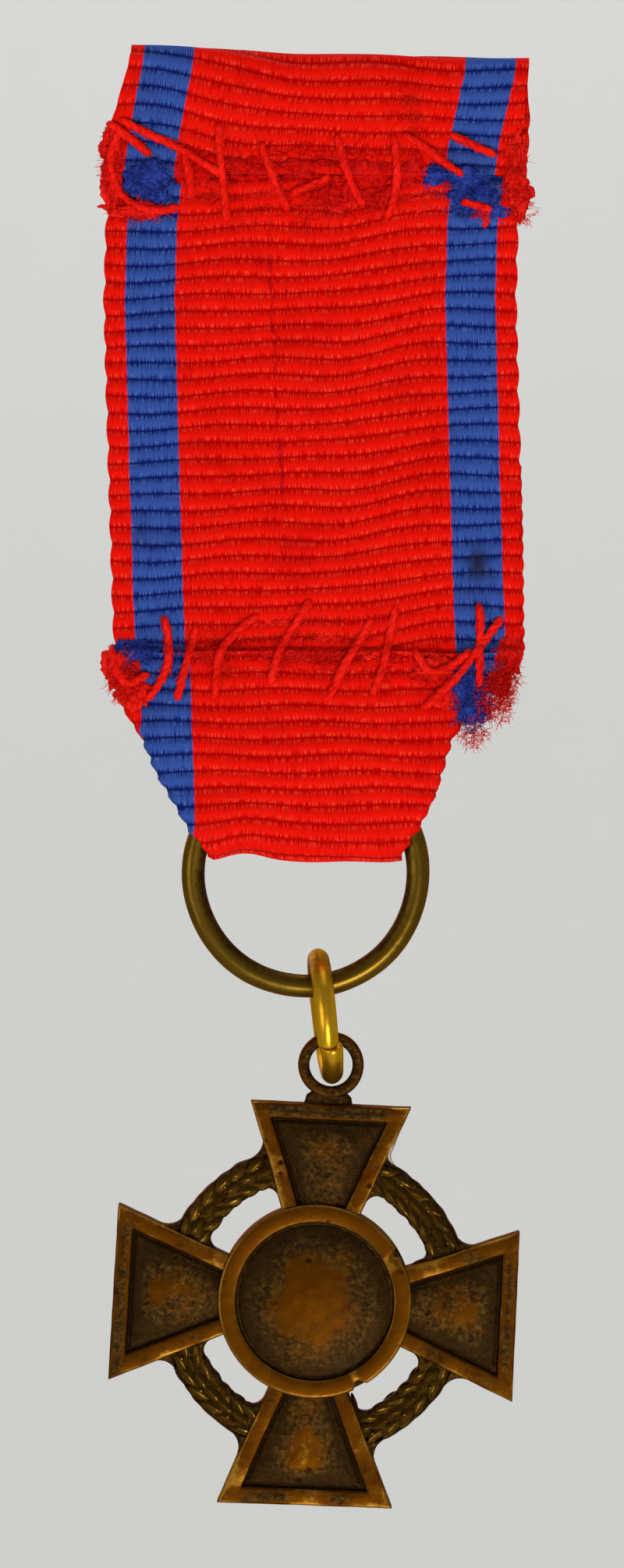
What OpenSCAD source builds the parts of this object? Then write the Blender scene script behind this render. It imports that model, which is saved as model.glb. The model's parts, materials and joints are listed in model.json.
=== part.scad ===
// Miniature service medal: ribbon strip, suspension ring, jump ring and wreathed cross.
// Frame: +Z up along the hanging ribbon, X across it, -Y is the plain reverse side.
// The origin is the centre of the hem tunnel that the brooch pin passes through.

/* [Ribbon] */
// Thickness of the woven ribbon
cloth_t = 0.4; // [0.3:0.05:0.45]
// Free height inside the hem tunnel at the top
tunnel_gap = 0.8; // [0.6:0.05:1]
// Height of the hem fold's shoulder above the tunnel centre
fold_z = 0.55; // [0.4:0.05:0.7]
// Sideways slope of the crooked hem fold, in degrees
fold_tilt = 2; // [0:0.5:3]
// Depth of the top flap's cut edge below the tunnel centre
flap_end = 3.6; // [3.2:0.1:4.5]
// Depth of the lower flap's cut edge below the tunnel centre
return_start = 22.4; // [21.5:0.1:23]
// Depth of the bottom fold below the tunnel centre
ribbon_drop = 30.6; // [30.3:0.1:31]
// Depth of the line that the ribbon's tail bends along
bend_depth = 25.4; // [25.2:0.05:25.5]
// Free length of cloth on either side of that line
bend_half_gap = 0.6; // [0.5:0.05:0.7]
// Free gap in the pocket that holds the suspension ring
pocket_gap = 1.06; // [1:0.02:1.2]

/* [Sewing] */
// Thickness of the red sewing thread
thread_d = 0.32; // [0.2:0.02:0.36]

/* [Suspension ring] */
// Outer diameter of the suspension ring
ring_od = 9.8; // [9.6:0.1:10]
// Wire diameter of the suspension ring
ring_wire = 0.92; // [0.8:0.02:0.94]
// Depth of the ring's centre below the tunnel centre
ring_depth = 31.2; // [31.1:0.05:31.3]
// Sideways place of the ring's centre
ring_x = -0.31; // [-0.4:0.05:0]

/* [Jump ring] */
// Outer diameter of the jump ring
link_od = 5.4; // [5.3:0.05:5.5]
// Wire diameter of the jump ring
link_wire = 0.86; // [0.7:0.02:0.88]
// Sideways lean of the jump ring, in degrees
link_lean = 6.4; // [5.5:0.1:7]
// Gap between the butted ends of the jump ring
link_split = 0.05; // [0.03:0.01:0.2]

/* [Cross] */
// Depth of the cross's centre below the tunnel centre
cross_depth = 48.06; // [48:0.02:48.2]
// Sideways place of the cross's centre
cross_x = 0.046; // [0:0.01:0.1]
// Sideways lean of the cross, in degrees
cross_tilt = 4; // [3.8:0.1:4.2]
// Distance from the cross's centre to each arm's outer edge
arm_reach = 7.98; // [7.9:0.02:8.05]
// Width of an arm at its outer edge
arm_w = 6.65; // [6:0.05:6.8]
// Flare of an arm's sides from its middle line, in degrees
arm_flare = 21.5; // [20:0.5:23]
// Thickness of the cross over its raised rims
cross_t = 1.3; // [1.2:0.05:1.5]
// Width of the raised rim round each arm
arm_rim = 0.66; // [0.5:0.02:0.8]
// Depth of the sunk field inside each arm's rim
field_sink = 0.2; // [0.1:0.02:0.3]

/* [Centre and wreath] */
// Outer radius of the centre's raised rim
centre_r = 3.83; // [3.7:0.01:3.9]
// Inner radius of the centre's raised rim
centre_in_r = 3.12; // [3:0.02:3.2]
// Thickness over both centre rims
centre_t = 1.6; // [1.5:0.05:1.8]
// Inner radius of the laurel wreath
wreath_in_r = 4.84; // [4.7:0.02:4.9]
// Outer radius of the laurel wreath
wreath_out_r = 6.18; // [6:0.02:6.3]
// Thickness of the laurel wreath
wreath_t = 1.1; // [0.9:0.05:1.2]

/* [Eyelet] */
// Distance from the cross's centre to the eyelet's hole
eyelet_reach = 9.32; // [9.3:0.01:9.36]
// Hole radius of the eyelet
eyelet_r = 0.88; // [0.84:0.01:0.9]
// Outer radius of the eyelet
eyelet_out_r = 1.28; // [1.24:0.01:1.3]
// Thickness of the eyelet
eyelet_t = 0.9; // [0.8:0.05:1]
// Width of the eyelet's neck
neck_w = 1.85; // [1.6:0.05:2]

/* [Hidden] */
$fn = 96;

ribbon_red = [0.86, 0.1, 0.06];
thread_red = [0.7, 0.03, 0.03];
brass_brown = [0.45, 0.34, 0.13];
brass_gold = [0.75, 0.57, 0.18];
bronze_dark = [0.3, 0.2, 0.1];
bronze_mid = [0.5, 0.32, 0.12];
wreath_gold = [0.45, 0.38, 0.15];

wide = 20;                      // wider than the ribbon, for cutting shapes
tunnel_y = tunnel_gap / 2;      // inner face of the tunnel
fold_r = tunnel_y + cloth_t;    // outer radius of the hem fold
pocket_y = pocket_gap / 2;      // inner face of the ring pocket
seam_z = -flap_end + 1.2;       // where the top flap meets the panel
bulge_z = -return_start - 0.3;  // where the layers start to part round the ring
root_end = -bend_depth + bend_half_gap;
tail_top = -bend_depth - bend_half_gap;
// Slope of the layers between the lower seam and the ring pocket
pocket_top = tail_top - 0.3;
tail_r = pocket_y + cloth_t;    // outer radius of the bottom fold, across the layers
tail_fold_z = -ribbon_drop + 0.9;
link_r = (link_od - link_wire) / 2;
ring_r = (ring_od - ring_wire) / 2;
ring_z = -ring_depth;
// Centre of the jump ring, hung so that its lower wire sits in the eyelet
eyelet_x = cross_x + eyelet_reach * sin(cross_tilt);
eyelet_z = -cross_depth + eyelet_reach * cos(cross_tilt);
wire_drop = 0.32;               // the jump ring's wire rests this far below the eyelet's middle
link_x = eyelet_x - link_r * sin(link_lean);
link_z = eyelet_z - wire_drop + link_r * cos(link_lean);

// Sideways outline of the ribbon's upper part, from the hem to the bend
upper_outline = [
    [-7.3, 3], [-7.6, 0.3], [-7.85, -1.3], [-8.3, -3.4], [-8.28, -8.5], [-8.18, -12.9],
    [-7.9, -20.6], [-8.15, -23.2], [-7.2, -25.0], [-6.85, -25.6],
    [5.6, -25.6], [6.2, -25.0], [7.6, -23.4], [8.2, -22.2],
    [8.31, -20.6], [8.12, -12.9], [8.0, -8.5], [8.1, -3.4], [8.3, -1.3], [8.45, 0.3], [8.65, 3]
];
// Sideways outline of the folded tail
tail_outline = [
    [-6.95, -25.4], [-6.2, -27.3], [-4.86, -29.45], [-4.2, -29.95], [-4, -30.2], [-4, -31],
    [3.4, -31], [3.4, -30.15], [3.6, -29.9], [4.12, -29.35], [4.83, -28.0], [5.6, -25.4]
];

// A strip of cloth seen from its side, drawn as [y, z] points and run across the ribbon
module cloth_across(points) {
    rotate([90, 0, 90])
        translate([0, 0, -wide / 2])
            linear_extrude(wide)
                polygon(points);
}

// An upright prism through the ribbon, drawn as [x, z] points
module outline_through(points) {
    rotate([90, 0, 0])
        translate([0, 0, -wide / 2])
            linear_extrude(wide)
                polygon(points);
}

// Everything below or above the crooked line that the hem is folded along
module below_fold() {
    rotate([0, fold_tilt, 0])
        translate([-wide, -wide, fold_z - 60])
            cube([2 * wide, 2 * wide, 60]);
}

// Front and back pieces are the same shape, mirrored through the hanging plane
module hem_layer(end_z) {
    intersection() {
        cloth_across([
            [tunnel_y, 2], [tunnel_y, -0.6], [0, seam_z], [0, end_z],
            [cloth_t, end_z], [cloth_t, seam_z], [fold_r, -0.6], [fold_r, 2]
        ]);
        outline_through(upper_outline);
        below_fold();
    }
}

module ribbon_front_panel() {
    color(ribbon_red) intersection() {
        cloth_across([
            [tunnel_y, 2], [tunnel_y, -0.6], [0, seam_z], [0, bulge_z], [pocket_y - 0.1, root_end],
            [tail_r - 0.1, root_end], [cloth_t, bulge_z], [cloth_t, seam_z], [fold_r, -0.6], [fold_r, 2]
        ]);
        outline_through(upper_outline);
        below_fold();
    }
}

module ribbon_hem_flap() {
    color(ribbon_red) mirror([0, 1, 0]) hem_layer(-flap_end);
}

module ribbon_hem_fold() {
    color(ribbon_red) intersection() {
        rotate([0, fold_tilt, 0])
            translate([0, 0, fold_z])
                intersection() {
                    rotate([0, 90, 0])
                        difference() {
                            cylinder(h = wide, r = fold_r, center = true);
                            cylinder(h = wide + 1, r = tunnel_y, center = true);
                        }
                    translate([-wide / 2, -wide / 2, 0]) cube([wide, wide, wide]);
                }
        outline_through(upper_outline);
    }
}

module ribbon_return_end() {
    color(ribbon_red) intersection() {
        mirror([0, 1, 0])
            cloth_across([
                [0, -return_start], [0, bulge_z], [pocket_y - 0.1, root_end],
                [tail_r - 0.1, root_end], [cloth_t, bulge_z], [cloth_t, -return_start]
            ]);
        outline_through(upper_outline);
    }
}

// One layer of the tail, drawn on the +Y side
module tail_layer() {
    intersection() {
        cloth_across([
            [pocket_y - 0.05, tail_top], [pocket_y, pocket_top], [pocket_y, tail_fold_z],
            [tail_r, tail_fold_z], [tail_r, pocket_top], [tail_r - 0.05, tail_top]
        ]);
        outline_through(tail_outline);
    }
}

module tail_front() {
    color(ribbon_red) tail_layer();
}

module tail_back() {
    color(ribbon_red) mirror([0, 1, 0]) tail_layer();
}

module tail_fold() {
    color(ribbon_red) intersection() {
        translate([0, 0, tail_fold_z])
            rotate([0, 90, 0])
                difference() {
                    cylinder(h = wide, r = tail_r, center = true);
                    cylinder(h = wide + 1, r = pocket_y, center = true);
                }
        translate([-wide / 2, -wide / 2, tail_fold_z - wide]) cube([wide, wide, wide]);
        outline_through(tail_outline);
    }
}

// Edge of the strip turned under inside the tail, clear of the suspension ring
module tuck(points) {
    color(ribbon_red)
        rotate([90, 0, 0])
            translate([0, 0, pocket_y - 0.3])
                linear_extrude(0.3)
                    polygon(points);
}

module tail_tuck_left() {
    tuck([[-6.6, pocket_top], [-6.2, -27.3], [-5.35, -28.6], [-5.0, -27.6], [-4.4, pocket_top]]);
}

module tail_tuck_right() {
    tuck([[5.35, pocket_top], [4.8, -28.0], [4.5, -28.7], [4.0, -27.6], [3.6, pocket_top]]);
}

// Straight run of thread between two points
module thread_run(a, b) {
    run = b - a;
    length = norm(run);
    translate(a)
        rotate([0, acos(run.z / length), atan2(run.y, run.x)])
            cylinder(h = length, d = thread_d, $fn = 8);
}

// A whip stitch over a cut edge: from the raised cloth at [x1, z1] down to the panel at [x2, z2]
module whip_stitch(x1, z1, x2, z2, high_y, low_y) {
    thread_run([x1, high_y - thread_d / 2, z1], [x2, low_y - thread_d / 2, z2]);
}

// Upper whip stitches: top point and bottom point of each run
upper_runs = [
    [-7.6, -1.4, -5.6, -2.6], [-5.5, -2.6, -3.7, -3.6], [-8.0, -1.7, -6.5, -2.8],
    [-3.7, -1.7, -3.4, -5.4], [-2.1, -2.4, -1.1, -4.9], [1.0, -2.2, 1.9, -4.8],
    [3.2, -2.1, 3.0, -5.2], [3.6, -2.1, 5.8, -3.6], [5.5, -2.1, 7.1, -2.8]
];

// Lower whip stitches, which lean the other way
lower_runs = [
    [-6.0, -21.2, -6.5, -24.3], [-4.8, -21.4, -5.4, -24.3], [-2.2, -21.0, -3.9, -24.2],
    [-0.1, -20.4, -1.7, -23.8], [2.3, -21.1, 0.6, -24.4], [3.3, -20.7, 2.4, -24.1],
    [7.4, -21.2, 4.2, -24.4], [6.6, -20.7, 6.5, -23.8]
];

module upper_stitches() {
    color(thread_red)
        for (r = upper_runs)
            whip_stitch(r[0], r[1], r[2], r[3], -cloth_t - 0.05, -cloth_t - 0.05);
}

module lower_stitches() {
    color(thread_red)
        for (r = lower_runs)
            whip_stitch(r[0], r[1], r[2], r[3], -cloth_t - 0.05, -pocket_y - cloth_t + 0.1);
}

module suspension_ring() {
    color(brass_brown)
        translate([ring_x, 0, ring_z])
            rotate([90, 0, 0])
                rotate_extrude()
                    translate([ring_r, 0]) circle(d = ring_wire);
}

module jump_ring() {
    split_angle = link_split / link_r * 180 / PI;
    split_at = 28;
    color(brass_gold)
        translate([link_x, 0, link_z])
            rotate([0, -link_lean, 0])
                rotate([0, 90, 0])
                    rotate([0, 0, -90 + split_at + split_angle / 2])
                        rotate_extrude(angle = 360 - split_angle)
                            translate([link_r, 0]) circle(d = link_wire);
}

// Places a part drawn in the cross's own plane, x across and y up, with its thickness along z
module on_cross() {
    translate([cross_x, 0, -cross_depth])
        rotate([0, cross_tilt, 0])
            rotate([90, 0, 0])
                children();
}

// Outline of the upper arm, drawn in from its edge by an inset
module arm_outline(inset) {
    half_w = arm_w / 2;
    reach = arm_reach - inset;
    side = inset / cos(arm_flare);
    outer = half_w - inset * tan(arm_flare) - side;
    inner_y = centre_r + (inset > 0 ? inset : -0.4);
    inner = half_w - (arm_reach - inner_y) * tan(arm_flare) - side;
    polygon([[-inner, inner_y], [inner, inner_y], [outer, reach], [-outer, reach]]);
}

module cross_plate() {
    color(bronze_dark) on_cross() difference() {
        union() {
            for (a = [0:90:270])
                rotate(a)
                    translate([0, 0, -cross_t / 2])
                        linear_extrude(cross_t) arm_outline(0);
            cylinder(h = cross_t - 2 * field_sink, r = centre_r, center = true);
        }
        for (a = [0:90:270], side = [0, 1])
            rotate(a)
                mirror([0, 0, side])
                    translate([0, 0, cross_t / 2 - field_sink])
                        linear_extrude(1) arm_outline(arm_rim);
        for (side = [0, 1])
            mirror([0, 0, side])
                translate([0, 0, cross_t / 2 - field_sink])
                    cylinder(h = 1, r = centre_r);
    }
}

module eyelet() {
    neck_bottom = arm_reach;
    color(bronze_mid) on_cross() difference() {
        union() {
            translate([0, eyelet_reach, 0]) cylinder(h = eyelet_t, r = eyelet_out_r, center = true);
            translate([-neck_w / 2, neck_bottom, -eyelet_t / 2])
                cube([neck_w, eyelet_reach - neck_bottom - eyelet_r, eyelet_t]);
        }
        translate([0, eyelet_reach, 0]) cylinder(h = 2, r = eyelet_r, center = true);
        translate([-2, neck_bottom - 2, -1]) cube([4, 2, 2]);
    }
}

// Raised ring round the centre of one face
module centre_rim() {
    low = cross_t / 2 - field_sink;
    color(bronze_mid) on_cross()
        translate([0, 0, low])
            difference() {
                cylinder(h = centre_t / 2 - low, r = centre_r);
                translate([0, 0, -1]) cylinder(h = 3, r = centre_in_r);
            }
}

// Low dome inside that ring
module centre_field() {
    low = cross_t / 2 - field_sink;
    rise = 0.3;
    rim_clear = 0.01;
    edge = centre_in_r - rim_clear;
    dome_r = (edge * edge + rise * rise) / (2 * rise);
    color(bronze_mid) on_cross()
        translate([0, 0, low])
            rotate_extrude()
                intersection() {
                    translate([0, rise - dome_r]) circle(r = dome_r, $fn = 360);
                    square([edge, rise + 1]);
                }
}

module reverse_rim() { centre_rim(); }
module reverse_field() { centre_field(); }

// The obverse pieces sit on the +Y face
module obverse_rim() { mirror([0, 1, 0]) centre_rim(); }
module obverse_field() { mirror([0, 1, 0]) centre_field(); }

// One quarter of the wreath, which spans the gap between two arms
module laurel(quarter) {
    color(wreath_gold) on_cross()
        rotate(-90 * quarter)
            difference() {
                cylinder(h = wreath_t, r = wreath_out_r, center = true);
                cylinder(h = 3, r = wreath_in_r, center = true);
                for (a = [0:90:270])
                    rotate(a)
                        translate([0, 0, -2])
                            linear_extrude(4) arm_outline(0);
                translate([-wide, -wide, -2]) cube([wide, 2 * wide, 4]);
                translate([-wide, -wide, -2]) cube([2 * wide, wide, 4]);
            }
}

module laurel_upper_right() { laurel(0); }
module laurel_lower_right() { laurel(1); }
module laurel_lower_left() { laurel(2); }
module laurel_upper_left() { laurel(3); }

ribbon_front_panel();
ribbon_hem_fold();
ribbon_hem_flap();
ribbon_return_end();
upper_stitches();
lower_stitches();
tail_front();
tail_back();
tail_fold();
tail_tuck_left();
tail_tuck_right();
suspension_ring();
jump_ring();
cross_plate();
eyelet();
reverse_rim();
reverse_field();
obverse_rim();
obverse_field();
laurel_upper_right();
laurel_lower_right();
laurel_lower_left();
laurel_upper_left();
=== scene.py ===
import json
import math

import bmesh
import bpy
import numpy as np
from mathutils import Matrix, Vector, noise


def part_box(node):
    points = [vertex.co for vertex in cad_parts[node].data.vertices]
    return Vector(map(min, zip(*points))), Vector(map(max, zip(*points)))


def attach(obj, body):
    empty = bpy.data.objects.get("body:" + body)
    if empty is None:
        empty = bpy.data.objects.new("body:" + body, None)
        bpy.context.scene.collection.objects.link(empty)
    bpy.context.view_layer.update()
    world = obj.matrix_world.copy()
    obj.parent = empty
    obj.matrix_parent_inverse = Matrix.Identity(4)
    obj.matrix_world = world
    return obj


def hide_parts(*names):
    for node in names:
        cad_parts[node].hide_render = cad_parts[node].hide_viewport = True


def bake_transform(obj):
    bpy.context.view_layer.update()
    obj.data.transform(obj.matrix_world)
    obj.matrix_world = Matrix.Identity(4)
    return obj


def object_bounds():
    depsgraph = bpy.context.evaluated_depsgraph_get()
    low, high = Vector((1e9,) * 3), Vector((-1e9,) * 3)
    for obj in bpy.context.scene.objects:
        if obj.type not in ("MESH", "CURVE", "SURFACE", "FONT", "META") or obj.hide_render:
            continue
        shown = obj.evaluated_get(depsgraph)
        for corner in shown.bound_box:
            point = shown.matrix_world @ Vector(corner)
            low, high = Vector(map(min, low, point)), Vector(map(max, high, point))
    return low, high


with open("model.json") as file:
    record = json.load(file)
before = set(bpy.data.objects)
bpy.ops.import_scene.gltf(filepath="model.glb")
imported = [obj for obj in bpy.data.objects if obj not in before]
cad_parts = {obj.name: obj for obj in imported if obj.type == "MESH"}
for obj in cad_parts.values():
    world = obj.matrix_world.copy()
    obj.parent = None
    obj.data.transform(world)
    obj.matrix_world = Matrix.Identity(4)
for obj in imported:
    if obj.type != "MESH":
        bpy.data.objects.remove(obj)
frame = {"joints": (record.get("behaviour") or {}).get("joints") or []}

MM = 0.001
cad_low, cad_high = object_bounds()


def mm_box(node):
    """A CAD node's lowest and highest corners in millimetres."""
    low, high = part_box(node)
    return np.array(low) / MM, np.array(high) / MM


def joint_place(name):
    """Where a joint's axis is, in millimetres."""
    return next(np.array(j["pos_m"]) / MM for j in frame["joints"] if j["name"] == name)


# ---------------------------------------------------------------- mesh helpers

def smooth_step(x, low, high):
    t = np.clip((np.asarray(x, float) - low) / (high - low), 0, 1)
    return t * t * (3 - 2 * t)


def grid_faces(rows, cols, close_rows=False, close_cols=False):
    """Quads over a grid of vertices numbered row by row."""
    faces = []
    for i in range(rows if close_rows else rows - 1):
        for j in range(cols if close_cols else cols - 1):
            i2, j2 = (i + 1) % rows, (j + 1) % cols
            faces.append((i * cols + j, i * cols + j2, i2 * cols + j2, i2 * cols + j))
    return faces


def closed_grid(rows, cols):
    """A tube of quads with a face over each of its two ends."""
    ends = [tuple(range(cols)), tuple(range((rows - 1) * cols, rows * cols))]
    return grid_faces(rows, cols, close_cols=True) + ends


def ball(rows, cols):
    """Points on a unit ball, pole to pole along its third axis."""
    down = np.linspace(0, math.pi, rows)[:, None]
    way = np.linspace(0, 2 * math.pi, cols, endpoint=False)[None]
    grid = np.stack([np.sin(down) * np.cos(way), np.sin(down) * np.sin(way), np.cos(down) + 0 * way], axis=-1)
    return grid.reshape(-1, 3)


def add_object(name, mesh, material):
    mesh.shade_smooth()
    mesh.materials.append(material)
    obj = bpy.data.objects.new(name, mesh)
    bpy.context.collection.objects.link(obj)
    return obj


def face_outwards(mesh, weld=0.0):
    """Joins vertices closer than weld millimetres and turns every face outwards."""
    bm = bmesh.new()
    bm.from_mesh(mesh)
    if weld:
        bmesh.ops.remove_doubles(bm, verts=bm.verts, dist=weld * MM)
    bmesh.ops.recalc_face_normals(bm, faces=bm.faces)
    bm.to_mesh(mesh)
    bm.free()


class Shell:
    """Collects vertices and faces, in millimetres, with one wear value for each vertex."""

    def __init__(self):
        self.points, self.faces, self.wear = [], [], []
        self.count = 0

    def add(self, points, faces, wear=0.0):
        points = np.asarray(points, float).reshape(-1, 3)
        self.points.append(points)
        self.faces += [tuple(k + self.count for k in f) for f in faces]
        self.wear.append(np.broadcast_to(np.asarray(wear, float), (len(points),)))
        self.count += len(points)

    def build(self, name, material, place=None, weld=0.0, sharp=None):
        points = np.concatenate(self.points)
        if place is not None:
            points = place(points)
        mesh = bpy.data.meshes.new(name)
        mesh.from_pydata((points * MM).tolist(), [], self.faces)
        attribute = mesh.attributes.new("wear", "FLOAT", "POINT")
        attribute.data.foreach_set("value", np.concatenate(self.wear).astype(np.float32))
        face_outwards(mesh, weld)
        obj = add_object(name, mesh, material)
        if sharp is not None:
            mesh.set_sharp_from_angle(angle=math.radians(sharp))
        return obj


def hang(obj, body, slot, *nodes):
    """Says which body a piece rides on and the CAD nodes that it stands for; slot, its material slot, is not used."""
    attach(obj, body)
    if nodes:
        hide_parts(*nodes)


def spun(a, b, angle):
    """Turns from the second axis towards the first."""
    c, s = math.cos(angle), math.sin(angle)
    return a * c + b * s, -a * s + b * c


def bumps(points, scale, seed):
    return np.array([noise.noise(Vector((p[0] * scale, p[1] * scale, p[2] * scale + seed))) for p in points])


def smooth_path(points, step):
    """Points along a Catmull-Rom curve through the given ones, about a step apart."""
    p = np.asarray(points, float)
    p = np.vstack([2 * p[0] - p[1], p, 2 * p[-1] - p[-2]])
    out = []
    for a, b, c, d in zip(p, p[1:], p[2:], p[3:]):
        n = max(2, int(np.linalg.norm(c - b) / step))
        t = np.linspace(0, 1, n, endpoint=False)[:, None]
        out.append(0.5 * (2 * b + (c - a) * t + (2 * a - 5 * b + 4 * c - d) * t ** 2
                          + (3 * b - a - 3 * c + d) * t ** 3))
    return np.vstack(out + [p[-2:-1]])


def path_frames(path):
    """Unit tangents and two normals along a path, turning as little as possible."""
    tangent = np.gradient(path, axis=0)
    tangent /= np.linalg.norm(tangent, axis=1)[:, None]
    normals = np.zeros_like(path)
    n = np.array([0.0, 1.0, 0.0]) if abs(tangent[0, 1]) < 0.9 else np.array([1.0, 0.0, 0.0])
    for k, t in enumerate(tangent):
        n = n - t * (n @ t)
        n /= np.linalg.norm(n)
        normals[k] = n
    return tangent, normals, np.cross(tangent, normals)


def add_tube(shell, path, radius, sides, wear=0.0):
    """A closed tube along a path; radius is one number or one for each point."""
    radius = np.broadcast_to(np.asarray(radius, float), (len(path),))
    _, n1, n2 = path_frames(path)
    angle = np.linspace(0, 2 * math.pi, sides, endpoint=False)
    ring = n1[:, None] * np.cos(angle)[None, :, None] + n2[:, None] * np.sin(angle)[None, :, None]
    points = path[:, None] + ring * radius[:, None, None]
    shell.add(points, closed_grid(len(path), sides), wear)


def along_path(path):
    """How far along a path each of its points is."""
    return np.concatenate([[0], np.cumsum(np.linalg.norm(np.diff(path, axis=0), axis=1))])


# ---------------------------------------------------------------- material helpers

class Value:
    """A number or colour coming out of a node, which plain arithmetic turns into more nodes."""

    def __init__(self, tree, socket):
        self.tree, self.socket = tree, socket

    def __add__(self, other):
        return self.tree.math("ADD", self, other)

    def __sub__(self, other):
        return self.tree.math("SUBTRACT", self, other)

    def __mul__(self, other):
        return self.tree.math("MULTIPLY", self, other)

    def __pow__(self, other):
        return self.tree.math("POWER", self, other)

    def __abs__(self):
        return self.tree.math("ABSOLUTE", self)

    def fraction(self):
        return self.tree.math("FRACT", self)

    def ramp(self, low, high, to_low=0.0, to_high=1.0):
        """A smooth climb from one value to another."""
        node = self.tree.node("MapRange", interpolation_type="SMOOTHSTEP")
        for socket, value in zip(node.inputs, (self, low, high, to_low, to_high)):
            self.tree.put(socket, value)
        return Value(self.tree, node.outputs[0])


class Tree:
    """A material's nodes, with short calls for the ones used here."""

    def __init__(self, name):
        self.material = bpy.data.materials.new(name)
        self.material.use_nodes = True
        self.nodes = self.material.node_tree.nodes
        self.links = self.material.node_tree.links
        self.shader = self.nodes["Principled BSDF"]

    def node(self, kind, **settings):
        node = self.nodes.new("ShaderNode" + kind)
        for key, value in settings.items():
            setattr(node, key, value)
        return node

    def put(self, socket, value):
        if isinstance(value, Value):
            self.links.new(value.socket, socket)
        elif isinstance(value, tuple) and len(value) == 3 and socket.type == "RGBA":
            socket.default_value = (*value, 1.0)
        else:
            socket.default_value = value

    def surface(self, **values):
        """Sets the shader's inputs; an underscore in a name stands for a space."""
        for key, value in values.items():
            self.put(self.shader.inputs[key.replace("_", " ")], value)

    def math(self, operation, a, b=0.0):
        node = self.node("Math", operation=operation)
        self.put(node.inputs[0], a)
        self.put(node.inputs[1], b)
        return Value(self, node.outputs[0])

    def mix(self, factor, a, b, blend="MIX"):
        node = self.node("Mix", data_type="RGBA", blend_type=blend, clamp_factor=True)
        for socket, value in zip((node.inputs[0], node.inputs[6], node.inputs[7]), (factor, a, b)):
            self.put(socket, value)
        return Value(self, node.outputs[2])

    def noise(self, place, scale, detail=2.0, rough=0.5):
        node = self.node("TexNoise")
        for key, value in (("Vector", place), ("Scale", scale), ("Detail", detail), ("Roughness", rough)):
            self.put(node.inputs[key], value)
        return Value(self, node.outputs["Fac"])

    def scaled(self, place, factors):
        node = self.node("VectorMath", operation="MULTIPLY")
        self.put(node.inputs[0], place)
        self.put(node.inputs[1], factors)
        return Value(self, node.outputs[0])

    def split(self, kind, value):
        node = self.node(kind)
        self.put(node.inputs[0], value)
        return [Value(self, out) for out in node.outputs]

    def attribute(self, name):
        return Value(self, self.node("Attribute", attribute_name=name).outputs["Fac"])

    def object_place(self):
        return Value(self, self.node("TexCoord").outputs["Object"])

    def bump(self, height, distance):
        node = self.node("Bump")
        for key, value in (("Distance", distance * MM), ("Strength", 1.0), ("Height", height)):
            self.put(node.inputs[key], value)
        self.surface(Normal=Value(self, node.outputs[0]))


def shaded(colour, factor):
    return tuple(factor * c for c in colour)


# Colours, as linear red, green and blue; the groove colours are painted shade in the rib grooves
RED_CREST, RED_GROOVE_SHADE, RED_PALE = (0.80, 0.006, 0.002), (0.46, 0.0, 0.0), (1.0, 0.060, 0.026)
BLUE_CREST, BLUE_GROOVE_SHADE, BLUE_PALE = (0.034, 0.082, 0.34), (0.004, 0.011, 0.12), (0.085, 0.17, 0.50)

# The strip's own sizes
STRIP_W = 16.3                   # full width of the ribbon
BLUE_IN, BLUE_OUT = 5.35, 7.33   # where each blue stripe starts and ends, from the middle
RIB = 0.652                      # distance from one rib to the next


def ribbon_material():
    t = Tree("ribbon_weave")
    uv = Value(t, t.node("UVMap", uv_map="strip").outputs[0])

    def thread_noise(across_scale, along_scale, **settings):
        return t.noise(t.scaled(uv, (across_scale, along_scale, 0)), 1.0, **settings)

    across, along, _ = t.split("SeparateXYZ", uv)   # millimetres from the middle; ribs from the cut end
    wobble = (thread_noise(0.2, 0.8) - 0.5) * 0.10
    from_middle = abs(across + wobble)
    blur = 0.04
    past_inner = from_middle.ramp(BLUE_IN - blur, BLUE_IN + blur)
    blue = past_inner - from_middle.ramp(BLUE_OUT - blur, BLUE_OUT + blur)
    # warp threads: fine lines along the strip, broken at each rib
    warp = thread_noise(15.0, 0.45, rough=0.6)
    tick = thread_noise(20.0, 1.5, detail=1.0)
    broad = thread_noise(0.35, 0.22, detail=4.0, rough=0.6)
    off_crest = abs(along.fraction() * 2.0 - 1.0)
    # painted shade: the rib grooves take a darker colour, mixed with the darker warp lines of the weave
    groove_shade_and_warp = (off_crest ** 1.9 + (warp - 0.46) * 1.7).ramp(0.0, 0.95)
    colour = t.mix(blue, t.mix(groove_shade_and_warp, RED_CREST, RED_GROOVE_SHADE), t.mix(groove_shade_and_warp, BLUE_CREST, BLUE_GROOVE_SHADE))
    # rubbed, paler threads on the crests, in patches
    rubbed = broad.ramp(0.50, 0.75) * warp.ramp(0.52, 0.72) * off_crest.ramp(0.75, 0.2)
    paler = t.mix(blue, RED_PALE, BLUE_PALE)
    colour = t.mix(rubbed * 0.45, colour, paler)
    # short bright ticks where single threads catch the light beside a groove
    ticks = tick.ramp(0.50, 0.64) * (off_crest.ramp(0.20, 0.60) * off_crest.ramp(0.95, 0.78))
    colour = t.mix(ticks * 0.62, colour, paler)
    # painted shade along a faint broken crease down the panel
    aside = abs(across + 1.62 - (along - 20.0) * 0.022)
    crease_shade = aside.ramp(0.16, 0.03) * thread_noise(2.0, 0.9).ramp(0.42, 0.58)
    crease_shade = crease_shade * (along.ramp(18.0, 20.0) * along.ramp(40.0, 37.0))
    colour = t.mix(crease_shade * 0.55, colour, (0.30, 0.0, 0.004))
    # darker, slightly browner patches where the ribbon is soiled, and one dark stain
    colour = t.mix(broad.ramp(0.52, 0.25, 0.0, 0.30), colour, (0.55, 0.0, 0.0), "MULTIPLY")
    colour = t.mix(t.attribute("stain") * 0.9, colour, (0.012, 0.012, 0.014))
    t.surface(Base_Color=colour, Roughness=0.55, Specular_IOR_Level=0.015)
    t.bump(warp, 0.035)
    return t.material


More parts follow.
